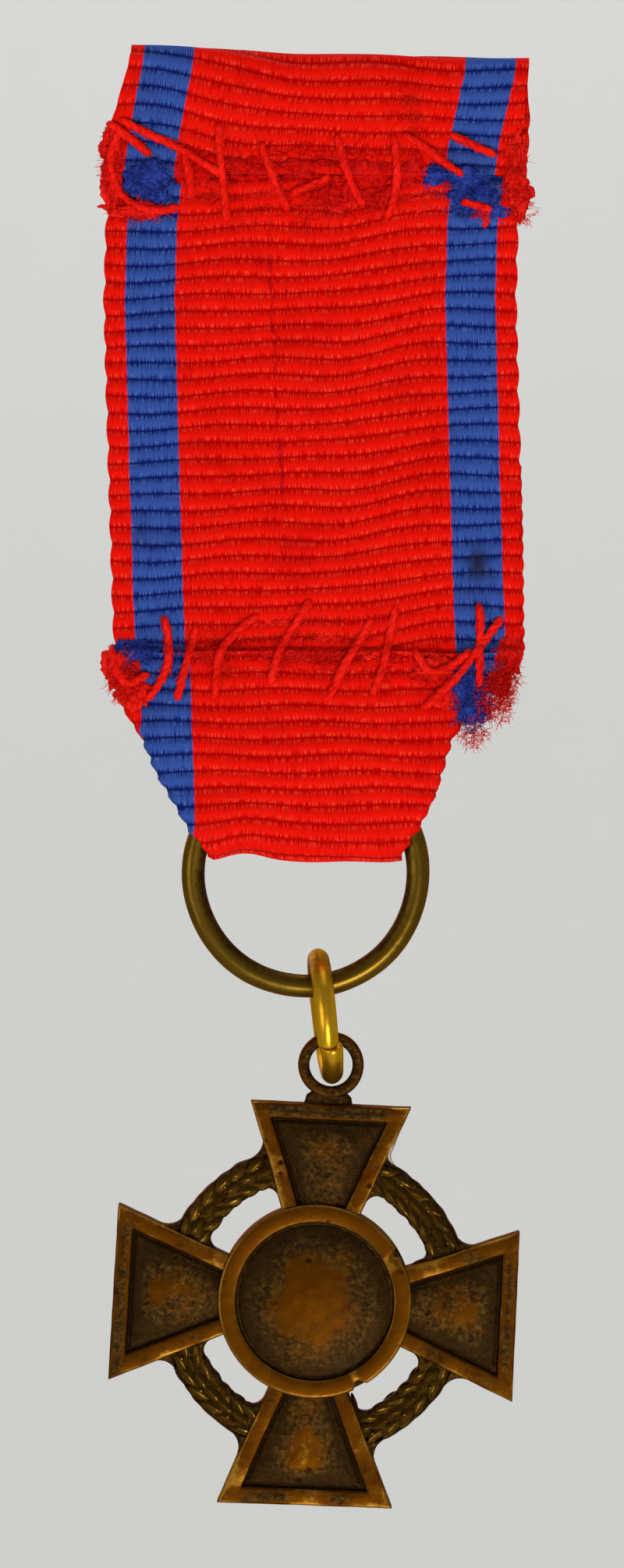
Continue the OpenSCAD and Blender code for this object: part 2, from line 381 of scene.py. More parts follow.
def thread_material(name, light, dark):
    t = Tree(name)
    place = t.object_place()
    fibre = t.noise(t.scaled(place, (1.0, 1.0, 0.35)), 9000.0, detail=3.0, rough=0.6)
    patch = t.noise(place, 900.0)
    colour = t.mix(fibre.ramp(0.30, 0.70), dark, light)
    paler = tuple(min(1, c * 1.15 + 0.008) for c in light)
    colour = t.mix(patch.ramp(0.45, 0.70, 0.0, 0.35), colour, paler)
    t.surface(Base_Color=colour, Roughness=0.62, Specular_IOR_Level=0.05)
    t.bump(fibre, 0.02)
    return t.material


def metal_material(name, patina, bronze, bright, tarnish=0.5, rough=(0.30, 0.55), pits=0.02, dirt_and_glints=1.0):
    """Worn metal: wear 0 keeps its patina, 0.5 shows bronze and 1 is rubbed bright; the last argument scales the
    russet tint, the dirt in pits and the painted glints and highlights.
    """
    t = Tree(name)
    place = t.object_place()
    fine = t.noise(place, 4200.0, detail=5.0, rough=0.65)
    cloud = t.noise(place, 620.0, detail=4.0, rough=0.6)
    flecks = t.noise(place, 11000.0, rough=0.7)
    own_wear = t.attribute("wear")
    wear = own_wear + (cloud - 0.5) * tarnish + (fine - 0.5) * (tarnish * 0.7)
    dark = t.mix(fine.ramp(0.3, 0.7), shaded(patina, 0.5), patina)
    # painted glints: fine golden flecks on the patina, in drifts
    glint_flecks = flecks.ramp(0.50, 0.66) * cloud.ramp(0.44, 0.66, 0.12, 1.0)
    glint_gold = tuple(0.55 * b + 0.14 * c for b, c in zip(bronze, bright))
    dark = t.mix(glint_flecks * (0.75 * dirt_and_glints), dark, glint_gold)
    colour = t.mix(wear.ramp(0.12, 0.55), dark, bronze)
    colour = t.mix(wear.ramp(0.66, 1.10), colour, bright)
    russet = t.noise(place, 1100.0, detail=3.0).ramp(0.50, 0.68) * wear.ramp(0.1, 0.4)
    russet_tint = (0.85 * bronze[0], 0.55 * bronze[1], 0.7 * bronze[2])
    colour = t.mix(russet * (0.5 * dirt_and_glints), colour, russet_tint)
    # pebbled surface of the sunk faces: the same noise gives the pebbles' bump and painted olive highlights on them
    sunk = own_wear.ramp(0.04, 0.15) * own_wear.ramp(0.46, 0.30)
    pebble_bump_and_highlights = t.noise(place, 5200.0, detail=3.0, rough=0.6).ramp(0.40, 0.72) * sunk
    colour = t.mix(pebble_bump_and_highlights * (0.50 * dirt_and_glints), colour, (0.135, 0.070, 0.014))
    # dirt lodged in small pits
    cells = t.node("TexVoronoi")
    t.put(cells.inputs["Scale"], 1700.0)
    t.put(cells.inputs["Vector"], place)
    chosen = t.split("SeparateColor", Value(t, cells.outputs["Color"]))[0]
    pit = Value(t, cells.outputs["Distance"]).ramp(0.26, 0.12) * chosen.ramp(0.62, 0.68)
    pit = pit * cloud.ramp(0.42, 0.58)
    colour = t.mix(pit * (0.85 * dirt_and_glints), colour, shaded(patina, 0.25))
    # the warm specular tint keeps grazing edges from going white
    t.surface(Base_Color=colour, Metallic=wear.ramp(0.0, 0.6, 0.80, 0.97),
              Roughness=wear.ramp(0.1, 0.9, rough[1], rough[0]),
              Specular_IOR_Level=0.2, Specular_Tint=(0.62, 0.40, 0.16))
    t.bump(fine + (cloud * 1.2 + pebble_bump_and_highlights * 0.8) - pit * (2.0 * dirt_and_glints), pits)
    return t.material


BRONZE = dict(patina=(0.028, 0.013, 0.0035), bronze=(0.076, 0.0235, 0.0008), bright=(0.30, 0.14, 0.016))
ribbon_weave = ribbon_material()
red_thread = thread_material("sewing_thread", (0.92, 0.012, 0.004), (0.66, 0.004, 0.002))
# darker red for the matted fibres: partly their own deeper red, partly painted shade round the stitches
shaded_red_mat = thread_material("shaded_red_mat", (0.70, 0.005, 0.002), (0.40, 0.0, 0.0))
red_fibre = thread_material("red_fibres", (0.88, 0.014, 0.006), (0.52, 0.002, 0.001))
blue_fibre = thread_material("blue_fibres", (0.032, 0.062, 0.36), (0.010, 0.018, 0.16))
ring_brass = metal_material("ring_brass", (0.042, 0.023, 0.002), (0.14, 0.078, 0.008), (0.50, 0.34, 0.10),
                            tarnish=0.45, rough=(0.24, 0.44), pits=0.008, dirt_and_glints=0.3)
link_brass = metal_material("link_brass", (0.16, 0.070, 0.004), (0.58, 0.31, 0.014), (0.86, 0.56, 0.09),
                            tarnish=0.35, rough=(0.26, 0.44), pits=0.006, dirt_and_glints=0.1)
cross_bronze = metal_material("cross_bronze", **BRONZE, tarnish=0.80, rough=(0.42, 0.56), pits=0.013)
centre_bronze = metal_material("centre_bronze", **BRONZE, tarnish=0.42, rough=(0.40, 0.54), pits=0.008,
                               dirt_and_glints=0.8)
# near-white metal for the painted glint on the upper arm's burr
glint_metal = metal_material("glint_metal", (0.50, 0.44, 0.36), (0.80, 0.76, 0.70), (0.95, 0.93, 0.90),
                            tarnish=0.2, rough=(0.5, 0.6), pits=0.004, dirt_and_glints=0.0)
wreath_bronze = metal_material("wreath_bronze", (0.020, 0.010, 0.0026), (0.066, 0.031, 0.003),
                               (0.26, 0.145, 0.016), tarnish=0.70, rough=(0.30, 0.52))


# ---------------------------------------------------------------- ribbon

CLOTH = 0.4                       # thickness that the CAD gives the ribbon
HALF_CLOTH = CLOTH / 2
HEM_Z = 0.55                      # height where the hem's round top starts


def fold_radius(node):
    """Radius of the strip's middle round a fold."""
    low, high = mm_box(node)
    return (high[1] - low[1]) / 2 - HALF_CLOTH


hem_mid, tail_mid = fold_radius("ribbon_hem_fold"), fold_radius("tail_fold")
tail_turn = mm_box("tail_fold")[0][2] + tail_mid + HALF_CLOTH
flap_cut = mm_box("ribbon_hem_flap")[0][2]         # cut edge of the top flap
return_cut = mm_box("ribbon_return_end")[1][2]     # cut edge of the lower flap
bend_low, bend_high = mm_box("tail_back")[1][2], mm_box("ribbon_return_end")[0][2]
HEM_FOOT = -0.6                                    # where the hem's round sides end
TAIL_TOP = bend_low - 0.3                          # the same for the bottom fold
SEAM_TOP, SEAM_LOW = -2.4, return_cut - 0.3        # where the two layers meet


def arc(radius, z, start, end, steps=24):
    turn = np.radians(np.linspace(start, end, steps))
    return [(radius * math.cos(a), z + radius * math.sin(a)) for a in turn]


# The strip's middle line seen from the side, as y and z, from the top flap's cut edge to the lower flap's
side_line = (
    [(-HALF_CLOTH, flap_cut), (-HALF_CLOTH, SEAM_TOP), (-hem_mid, HEM_FOOT)]
    + arc(hem_mid, HEM_Z, 180, 0)
    + [(hem_mid, HEM_FOOT), (HALF_CLOTH, SEAM_TOP), (HALF_CLOTH, SEAM_LOW), (tail_mid, TAIL_TOP)]
    + arc(tail_mid, tail_turn, 0, -180)
    + [(-tail_mid, TAIL_TOP), (-HALF_CLOTH, SEAM_LOW), (-HALF_CLOTH, return_cut)]
)


def soften(values, window):
    """A moving average that keeps both ends where they are."""
    pad = np.pad(values, (window, window), mode="reflect", reflect_type="odd")
    kernel = np.hanning(2 * window + 1)
    return np.convolve(pad, kernel / kernel.sum(), mode="same")[window:-window]


def even_line(points, step):
    """The same line with a point at each step, rounded a little at its corners."""
    points = np.asarray(points, float)
    run = along_path(points)
    place = np.linspace(0, run[-1], int(run[-1] / step) + 1)
    return np.column_stack([soften(np.interp(place, run, points[:, k]), 10) for k in range(2)])


line = even_line(side_line, 0.05)
line_s = along_path(line)
line_t = np.gradient(line, axis=0)
line_t /= np.linalg.norm(line_t, axis=1)[:, None]
STRIP_LENGTH = line_s[-1]
top_s = line_s[np.argmax(line[:, 1])]       # along the strip, where the hem fold is
bottom_s = line_s[np.argmin(line[:, 1])]    # where the bottom fold is

# How far the strip's middle lies to the side, against height: the panel, the top flap and the lower flap
panel_sway = ([-30.6, -28, -25.5, -23, -20.6, -13, -8.5, -5.5, -3.5, -1.2, 1.5],
              [0.70, 0.64, 0.50, 0.30, 0.20, -0.02, -0.14, -0.06, 0.18, 0.50, 0.66])
flap_sway = ([-3.8, -2.4, -1.2, 0.3, 1.5], [-0.20, -0.02, 0.23, 0.56, 0.74])
return_sway = ([-30.6, -28, -25.5, -22.3], [0.70, 0.66, 0.56, 0.46])
# Outline of the tapered tail, as height and sideways place
tail_right = ([-30.7, -30.2, -29.8, -29.35, -28.0, -25.94, -24.6, -23.3, -22.3],
              [3.36, 3.50, 3.72, 4.00, 4.68, 5.28, 6.15, 7.45, 8.2])
tail_left = ([-30.7, -30.2, -29.45, -27.3, -25.8, -24.5, -23.2, -22.3],
             [-3.95, -4.05, -4.72, -6.02, -6.62, -7.45, -8.30, -9.0])
# How far the turned-under edges may reach inside the tail
tuck_reach = ([-28.6, -28.0, -27.0, -26.0, -23.0], [0.06, 0.5, 1.2, 2.0, 2.4])
EDGE_R = 0.17            # radius of the cloth where it turns under
STAIN_AT = (6.35, 20.75)    # the stain: from the strip's middle, and along it from HEM_Z past the hem's top


def strip_columns():
    fine = np.arange(3.45, STRIP_W / 2 - 0.22, 0.13)
    lip = STRIP_W / 2 - np.array([0.16, 0.09, 0.03, 0.0])
    half = np.concatenate([np.arange(0.2, 3.4, 0.36), fine, lip])
    return np.concatenate([-half[::-1], half])


def rib_skew(w, s):
    """How far each rib's course strays along the strip: ribs climb to one side."""
    climb = 0.62 * smooth_step(w, 0.6, 5.2) + 0.22 * smooth_step(w, -7.5, -1.5)
    over_hem = 0.80 * smooth_step(w, -7.5, -1.0) + 0.15 * smooth_step(w, 0.0, 6.0)
    mixed = over_hem + (climb - over_hem) * smooth_step(s, top_s - 1.5, top_s + 5.0)
    fade = 1 - 0.95 * smooth_step(s, bottom_s - 6.0, bottom_s + 1.0)
    return -mixed * fade


def strip_sway(s, z):
    on_return = smooth_step(s, bottom_s - 0.8, bottom_s + 0.8)
    on_flap = 1 - smooth_step(s, top_s - 0.8, top_s + 0.8)
    sway = np.interp(z, *panel_sway)
    sway += (np.interp(z, *return_sway) - sway) * on_return
    sway += (np.interp(z, *flap_sway) - sway) * on_flap
    return sway


def turn_edges(across, z, sway):
    """Turns the tail's edges under: gives sideways place, depth and turn of the cloth's normal."""
    px, depth, tilt = across.copy(), np.zeros_like(across), np.zeros_like(across)
    reach = np.interp(z, *tuck_reach)
    on_tail = z < -15
    never = 20.0                                    # beyond any edge of the strip
    right = np.where(on_tail, np.interp(z, *tail_right) - sway - 0.12, never)
    left = np.where(on_tail, sway - np.interp(z, *tail_left) - 0.12, never)
    for side, limit in ((1, right), (-1, left)):
        over = side * across - limit
        turned_in = over > 0
        angle = np.clip(over / EDGE_R, 0, math.pi)
        inward = np.clip(over - math.pi * EDGE_R, 0, None)
        most = np.clip(STRIP_W / 2 - limit - math.pi * EDGE_R, 1e-6, None)
        inward = inward * np.minimum(1, reach / most)
        px = np.where(turned_in, side * (limit + EDGE_R * np.sin(angle) - inward), px)
        depth = np.where(turned_in, EDGE_R * (1 - np.cos(angle)), depth)
        tilt = np.where(turned_in, side * angle, tilt)
    # the cloth stands out a little where its edge rides over the ring's wire
    by_wire = smooth_step(z, -30.6, -29.9) * (1 - smooth_step(z, -28.8, -27.6))
    return px, depth - 0.24 * smooth_step(np.abs(px), 2.6, 3.6) * by_wire, tilt


def crooked_folds(px, z, sway):
    """Height with the hem's crooked fold and a dip in the bottom fold."""
    hem_wave = -0.04 + 0.34 * (1 - smooth_step(px + sway, -5.6, -0.6)) - 0.12 * smooth_step(px, 0, 7)
    z = z + hem_wave * smooth_step(z, -3.4, 0.9)
    near_fold = 1 - smooth_step(z, tail_turn - 0.9, tail_turn + 1.8)
    dip = 0.40 * np.exp(-((px + sway + 2.75) / 1.0) ** 2) - 0.15 + 0.02 * np.sin(px * 2.3)
    return z + dip * near_fold


def ribbon_points(w, course):
    """Both faces of the strip, for columns at w and rows at course (ribs from the top flap's cut edge)."""
    across = np.broadcast_to(w, (len(course), len(w))).copy()
    s = course * RIB + rib_skew(across, course * RIB) + 0.06 * np.sin(across * 1.1 + course * 0.7)
    s = np.clip(s, 0, STRIP_LENGTH)
    y, z = np.interp(s, line_s, line[:, 0]), np.interp(s, line_s, line[:, 1])
    ty, tz = np.interp(s, line_s, line_t[:, 0]), np.interp(s, line_s, line_t[:, 1])
    size = np.hypot(ty, tz)
    ny, nz = -tz / size, ty / size                  # outward normal in the side plane
    sway = strip_sway(s, z)
    across = across * (1 - 0.036 * smooth_step(z, -2.5, 1.2))     # drawn in a little round the hem
    px, depth, tilt = turn_edges(across, z, sway)
    # gentle unevenness of the cloth
    soft = np.array([[noise.noise(Vector((a * 0.22, b * 0.12, 3.0))) for a in w] for b in s[:, len(w) // 2]])
    calm = smooth_step(s, 0, 6) * (1 - smooth_step(s, bottom_s - 7, bottom_s - 3))
    y = y + 0.16 * soft * calm
    z = crooked_folds(px, z, sway)

    # ribs: round cords across the strip, with the selvedge pulled in between each pair
    crest = np.clip(0.5 - 0.5 * np.cos(2 * math.pi * (course % 1.0)), 0, 1) ** 0.62
    edge = smooth_step(np.abs(across), STRIP_W / 2 - 0.20, STRIP_W / 2)
    half = (0.055 + 0.130 * crest) * (1 - 0.5 * edge)
    scallop = np.abs(np.sin(course * math.pi / 2))
    px = px + np.sign(across) * edge * (0.10 * scallop - 0.05) * np.where(np.abs(tilt) > 0, 0, 1)

    middle = np.stack([px + sway, y - ny * depth, z - nz * depth], axis=-1)
    normal = np.stack([np.sin(tilt), np.cos(tilt) * ny, np.cos(tilt) * nz], axis=-1)
    outer, inner = middle + normal * half[..., None], middle - normal * half[..., None]
    return np.concatenate([outer, inner[:, ::-1]], axis=1), np.concatenate([across, across[:, ::-1]], axis=1)


def ribbon_strip():
    rows_per_rib = 7
    ribs = STRIP_LENGTH / RIB
    rows = int(ribs * rows_per_rib)
    w = strip_columns()
    points, across = ribbon_points(w, np.linspace(0, ribs, rows)[:, None])
    cols = points.shape[1]
    faces = grid_faces(rows, cols, close_cols=True)
    last = (rows - 1) * cols
    for j in range(len(w) - 1):                     # close the two cut ends
        k = cols - 1 - j
        faces.append((j, k, k - 1, j + 1))
        faces.append((last + j, last + j + 1, last + k - 1, last + k))

    mesh = bpy.data.meshes.new("ribbon_strip")
    mesh.from_pydata((points.reshape(-1, 3) * MM).tolist(), [], faces)
    across = across.ravel()
    course = np.repeat(np.linspace(0, ribs, rows), cols)
    from_stain = course * RIB - (top_s + HEM_Z + STAIN_AT[1])
    stain = np.exp(-((across - STAIN_AT[0]) / 0.42) ** 2 - (from_stain / 0.75) ** 2)
    mesh.attributes.new("stain", "FLOAT", "POINT").data.foreach_set("value", stain.astype(np.float32))
    corner = np.empty(len(mesh.loops), np.int32)
    mesh.loops.foreach_get("vertex_index", corner)
    uv = np.column_stack([across[corner], course[corner]]).ravel().astype(np.float32)
    mesh.uv_layers.new(name="strip").data.foreach_set("uv", uv)
    face_outwards(mesh)
    obj = add_object("ribbon_strip", mesh, ribbon_weave)
    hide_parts("ribbon_front_panel", "ribbon_hem_fold", "ribbon_hem_flap", "ribbon_return_end",
                "tail_front", "tail_back", "tail_fold", "tail_tuck_left", "tail_tuck_right")
    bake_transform(obj)


# ---------------------------------------------------------------- sewing and frayed ends

FACE_TOP = -HALF_CLOTH - 0.16         # y of the cloth's outer surface where there are two layers
# Height of the reverse surface, as z and y
reverse_face = (
    [-30.0, TAIL_TOP, SEAM_LOW, return_cut, return_cut + 0.2,
     flap_cut - 0.2, flap_cut, SEAM_TOP, HEM_FOOT, 0.6],
    [-tail_mid - 0.16] * 2 + [FACE_TOP, FACE_TOP, 0.04, 0.04, FACE_TOP, FACE_TOP] + [-hem_mid - 0.16] * 2)


def surface(z):
    return np.interp(z, *reverse_face)


UPPER_STITCHES = [
    [(-7.75, -1.35), (-6.6, -1.95), (-5.4, -2.5), (-4.4, -3.1), (-3.6, -3.6)],
    [(-8.1, -1.55), (-7.3, -2.1), (-6.45, -2.8)],
    [(-3.72, -1.55), (-3.7, -2.6), (-3.55, -4.1), (-3.42, -5.45)],
    [(-2.1, -2.3), (-1.75, -3.3), (-1.3, -4.3), (-1.0, -4.95)],
    [(0.9, -2.0), (1.15, -2.9), (1.5, -3.9), (2.0, -4.8)],
    [(3.15, -2.0), (3.3, -3.2), (3.2, -4.4), (2.9, -5.25)],
    [(3.5, -2.0), (4.3, -2.45), (5.0, -3.0), (5.9, -3.6)],
    [(5.4, -2.0), (6.1, -2.35), (7.15, -2.8)],
    [(-5.1, -2.7), (-4.95, -3.5), (-4.85, -4.2)],
    [(-0.85, -4.3), (-0.1, -3.95), (0.6, -3.65)],
    [(-7.5, -1.7), (-7.9, -2.4), (-8.0, -3.3), (-7.6, -4.3), (-6.8, -4.85), (-5.9, -4.95), (-5.2, -4.75)],
    [(5.9, -4.6), (6.4, -4.75), (7.0, -4.9)],
]
LOWER_STITCHES = [
    [(-5.95, -20.95), (-5.75, -21.8), (-5.75, -22.9), (-6.15, -23.8), (-6.65, -24.4)],
    [(-4.6, -21.3), (-4.85, -22.3), (-5.15, -23.4), (-5.4, -24.35)],
    [(-2.1, -20.9), (-3.0, -21.6), (-3.65, -22.4), (-3.85, -23.4), (-3.9, -24.3)],
    [(-0.05, -20.3), (-0.7, -21.3), (-1.3, -22.3), (-1.75, -23.8)],
    [(2.35, -21.0), (1.75, -22.1), (1.2, -23.0), (0.55, -24.4)],
    [(3.3, -20.5), (3.0, -21.8), (2.75, -23.0), (2.3, -24.15)],
    [(7.5, -21.0), (6.6, -22.2), (5.6, -23.5), (4.3, -24.7)],
    [(6.55, -20.5), (6.6, -21.6), (6.55, -22.8), (6.55, -23.9)],
    [(-8.0, -22.2), (-7.75, -23.2), (-7.3, -23.7), (-6.5, -23.3)],
    [(4.0, -22.4), (4.6, -23.2), (5.4, -23.0), (6.2, -22.4)],
]
THREAD_R = 0.16


def add_hair(shell, rng, path, n1, n2):
    """A loose hair that lies along a thread and lifts off it."""
    n = rng.integers(6, 16)
    start = rng.integers(0, max(1, len(path) - n))
    part = slice(start, start + n)
    count = len(path[part])
    turn = rng.uniform(0, 6.28) + np.linspace(0, rng.uniform(-2.5, 2.5), count)
    lift = THREAD_R * (0.85 + rng.uniform(0.1, 0.9) * np.linspace(0, 1, count) ** 2)
    hair = path[part] + (n1[part] * np.cos(turn)[:, None] + n2[part] * np.sin(turn)[:, None]) * lift[:, None]
    add_tube(shell, hair[::2], 0.012, 3)


def add_stitch(shell, route, seed):
    """A soft two-ply thread that rises from the cloth, crosses the cut edge and goes back in."""
    rng = np.random.default_rng(seed)
    route = np.array(route)
    path = smooth_path(np.column_stack([route[:, 0], np.zeros(len(route)), route[:, 1]]), 0.05)
    run = np.linspace(0, 1, len(path))
    ends = np.clip(np.minimum(run, 1 - run) / 0.08, 0, 1)
    path[:, 1] = soften(surface(path[:, 2]), 7) - THREAD_R * 0.9 + 0.40 * (1 - smooth_step(ends, 0, 1))
    _, n1, n2 = path_frames(path)
    length = along_path(path)
    swell = 1 + 0.10 * np.sin(length * 1.7 + rng.uniform(0, 6)) - 0.25 * np.exp(-ends * 3)
    for ply in range(2):
        turn = length * 2 * math.pi / 0.85 + ply * math.pi + seed
        offset = (n1 * np.cos(turn)[:, None] + n2 * np.sin(turn)[:, None]) * 0.034
        add_tube(shell, path + offset, THREAD_R * 0.80 * swell, 10)
    for _ in range(int(10 + length[-1] * 10)):
        add_hair(shell, rng, path, n1, n2)


def sewing(name, routes, seed, node):
    shell = Shell()
    for k, route in enumerate(routes):
        add_stitch(shell, route, seed + k)
    hang(shell.build(name, red_thread), "ribbon", "sewing_thread", node)


def add_fibres(shell, rng, count, centre, spread, lift, length=(0.35, 1.0), radius=(0.009, 0.018)):
    """Loose warp ends matted on the reverse: short curly fibres round a centre, given as x and z."""
    for _ in range(count):
        # more of them near the middle of the patch, none beyond its edge
        far, way = rng.random() ** 0.6, rng.uniform(0, 2 * math.pi)
        x, z = centre[0] + spread[0] * far * math.cos(way), centre[1] + spread[1] * far * math.sin(way)
        size = rng.uniform(*length)
        n = max(5, int(size / 0.11))
        first = rng.uniform(0, 2 * math.pi)
        bend = first + np.cumsum(np.full(n, rng.normal(0, 0.22)) + rng.normal(0, 0.16, n))
        xs = x + (np.cumsum(np.cos(bend)) - 0.5) * size / n
        zs = z + (np.cumsum(np.sin(bend)) - 0.5) * size / n
        t = np.linspace(0, 1, n)
        ys = surface(zs) - rng.uniform(*lift) * (0.35 + np.sin(t * math.pi * rng.uniform(0.6, 1.0)))
        add_tube(shell, np.column_stack([xs, ys, zs]), rng.uniform(*radius) * (1.1 - 0.6 * t), 3)


def add_lump(shell, centre, size, depth, seed):
    """A felted clump on the reverse: its centre and half size as x and z, and how far it stands out."""
    rows, cols = 26, 44
    shape = ball(rows, cols)[:, (0, 2, 1)]
    lumpy = 1 + 0.60 * bumps(shape, 1.5, seed) + 0.35 * bumps(shape, 4.0, seed + 3)
    lumpy += 0.16 * bumps(shape, 10, seed + 6)
    x = centre[0] + size[0] * shape[:, 0] * lumpy
    z = centre[1] + size[1] * shape[:, 2] * lumpy
    y = surface(z) - depth * shape[:, 1] * lumpy * (1 + 0.5 * bumps(shape, 6.0, seed + 9)) + 0.05
    shell.add(np.column_stack([x, y, z]), grid_faces(rows, cols, close_cols=True))


def frayed(name, material, seed, lumps, patches, crossing=False):
    """Matted clumps and loose fibres; crossing ones reach over the line where the ribbon bends."""
    rng = np.random.default_rng(seed)
    shell = Shell()
    for k, lump in enumerate(lumps):
        add_lump(shell, *lump, seed * 10 + k)
    for patch in patches:
        add_fibres(shell, rng, *patch)
    obj = shell.build(name, material, weld=0.0002)
    if crossing:
        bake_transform(obj)
    else:
        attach(obj, "ribbon")


# ---------------------------------------------------------------- rings

LINK_WIRE = 0.86                # thickness of the jump ring's wire


def wire_ring(shell, centre, mid_r, wire_r, seed, rubbed,
              facing="y", lean=0.0, cut=None, spring=0.0, slew=0.0):
    """A ring of wire, in the hanging plane for facing "y" or square to it for "x".

    lean turns it about y and slew turns it about z first. cut is where a split ring's two ends are, in radians,
    and spring is how far they stand out of line.
    """
    steps, sides = 260, 36
    start, end = cut or (0, 2 * math.pi)
    turn = np.linspace(start, end, steps, endpoint=cut is not None)
    around = np.linspace(0, 2 * math.pi, sides, endpoint=False)
    uneven = np.array([[noise.noise(Vector((math.cos(a) * 1.7, math.sin(a) * 1.7, seed))),
                        noise.noise(Vector((math.cos(a) * 9, math.sin(a) * 9, seed + 5.0)))] for a in turn])
    mid = mid_r + 0.035 * uneven[:, 0]
    thick = wire_r * (1 + 0.020 * uneven[:, 0] + 0.010 * uneven[:, 1])
    # hammered or drawn wire isn't quite round
    section = thick[:, None] * (1 + 0.012 * np.cos(2 * around + 0.7)[None] + 0.008 * np.cos(5 * around)[None])
    if cut:
        # the cut ends are rounded over by a burr's width
        end_gap = np.minimum(turn - turn[0], turn[-1] - turn) * mid_r
        section *= (1 - 0.16 * np.exp(-end_gap / 0.035))[:, None]
    radial = mid[:, None] + section * np.cos(around)[None]
    out = section * np.sin(around)[None] + (spring * np.linspace(0.5, -0.5, steps) ** 3 * 4)[:, None]
    u, v = radial * np.cos(turn)[:, None], radial * np.sin(turn)[:, None]
    x, y, z = (u, out, v) if facing == "y" else (out, -u, v)
    x, y = spun(x, y, -slew)
    x, z = spun(x, z, lean)
    faces = closed_grid(steps, sides) if cut else grid_faces(steps, sides, close_rows=True, close_cols=True)
    wear = rubbed(turn[:, None], around[None]) + np.zeros((steps, sides))
    shell.add(np.stack([x, y, z], axis=-1) + centre, faces, wear.ravel())


def suspension_ring():
    low, high = mm_box("suspension_ring")
    wire = (high[1] - low[1]) / 2
    shell = Shell()

    def rubbed(turn, around):
        return 0.30 + 0.16 * np.cos(around) + 0.20 * np.abs(np.sin(around)) ** 6

    wire_ring(shell, (low + high) / 2, (high[0] - low[0]) / 2 - wire, wire * 0.985, 2.0, rubbed)
    hang(shell.build("suspension_ring_wire", ring_brass), "ring", "ring_brass", "suspension_ring")


def jump_ring():
    low, high = mm_box("jump_ring")
    flap = next(j for j in frame["joints"] if j["name"] == "link_flap")
    lean = -math.atan2(flap["axis"][2], flap["axis"][0])
    wire = LINK_WIRE / 2
    mid_r = (high[1] - low[1]) / 2 - wire
    split = math.radians(-28)
    half_gap = 0.055 / mid_r / 2
    shell = Shell()

    def rubbed(turn, around):
        # painted shade: the top of the ring gets less wear, so it is darker and rougher
        painted_top_shade = 0.30 * smooth_step(np.sin(turn), 0.3, 1.0)
        return 0.50 + 0.12 * np.cos(around) + 0.05 * np.sin(3 * around) - painted_top_shade

    wire_ring(shell, (low + high) / 2, mid_r, wire * 0.985, 7.0, rubbed, facing="x", lean=lean,
              cut=(split + half_gap, split + 2 * math.pi - half_gap), spring=-0.16, slew=math.radians(2.6))
    hang(shell.build("jump_ring_wire", link_brass, sharp=50), "link", "link_brass", "jump_ring")


# ---------------------------------------------------------------- cross

wreath_low, wreath_high = mm_box("reverse_rim")
cross_centre = (wreath_low + wreath_high) / 2
cross_centre[1] = 0.0
to_eyelet = joint_place("cross_swing") - cross_centre
cross_lean = math.atan2(to_eyelet[0], to_eyelet[2])
EYELET_REACH = math.hypot(to_eyelet[0], to_eyelet[2])
CROSS_T = 1.3                   # over the arms' rims
CENTRE_T = -2 * wreath_low[1]   # over both centre rings
ARM_REACH, ARM_HALF, ARM_ROOT = 7.98, 3.325, 3.3
FLARE = math.tan(math.radians(21.5))
FIELD_LEVEL = CROSS_T / 2 - 0.20
RIM_OUT, RIM_IN = 3.83, 3.12    # the centre rings
WREATH_IN, WREATH_OUT = 4.84, 6.18


def on_cross(points):
    """From the cross's own plane (x across, y up, z towards the reverse) to the frame."""
    x, z = spun(points[:, 0], points[:, 1], cross_lean)
    return np.column_stack([x, -points[:, 2], z]) + cross_centre


def turned(points, degrees):
    """Clockwise turn in the cross's plane, as seen from the reverse."""
    p = np.array(points, float)
    p[..., 0], p[..., 1] = spun(p[..., 0], p[..., 1], math.radians(degrees))
    return p


def at_angle(radius, angle):
    """A place in the cross's plane; the angle runs clockwise from the top."""
    return radius * math.sin(angle), radius * math.cos(angle)


def hang_on_cross(shell, name, material, slot, *nodes, obverse=False, **build):
    """Builds a piece of the cross, turning it over for the obverse, and hangs it on the cross."""
    flip = (-1, 1, -1) if obverse else (1, 1, 1)
    obj = shell.build(name, material, place=lambda points: on_cross(points * flip), **build)
    hang(obj, "cross", slot, *nodes)


# The arm's face from its outer edge inwards: inset, drop below the rim and wear
ARM_PROFILE = [
    (0.00, 0.12, 0.78), (0.025, 0.045, 1.0), (0.07, 0.008, 0.98), (0.12, 0.0, 0.66), (0.34, 0.0, 0.50),
    (0.54, 0.0, 0.58), (0.60, 0.012, 0.70), (0.635, 0.05, 0.40), (0.66, 0.17, 0.0), (0.69, 0.27, -0.25),
    (0.74, 0.275, -0.25), (0.79, 0.215, 0.05),
]
# For each arm, clockwise from the top: how much longer and how much wider than the regular arm it is at its
# outer corners (right, left), then how rubbed its middle and its tip are
ARMS = [
    ((-0.12, -0.28), (-0.05, -0.26), 0.12, -0.45),
    ((0.07, -0.09), (0.11, -0.05), 0.42, -0.30),
    ((0.22, -0.02), (-0.03, 0.29), 0.36, -0.12),
    ((0.02, -0.06), (-0.05, 0.35), 0.36, -0.28),
]
# Burrs in the openings: place in the cross's plane, half sizes, heading and wear
BURRS = [
    ((-2.05, -4.42), (0.13, 0.30, 0.40), 65, 0.85), ((1.86, -3.95), (0.09, 0.40, 0.40), 158, 0.75),
    ((2.34, -4.75), (0.12, 0.45, 0.40), -35, 0.5), ((-1.74, 4.25), (0.08, 0.34, 0.36), -22, 1.1),
    ((4.25, 1.84), (0.55, 0.13, 0.40), -21, 0.3),
]


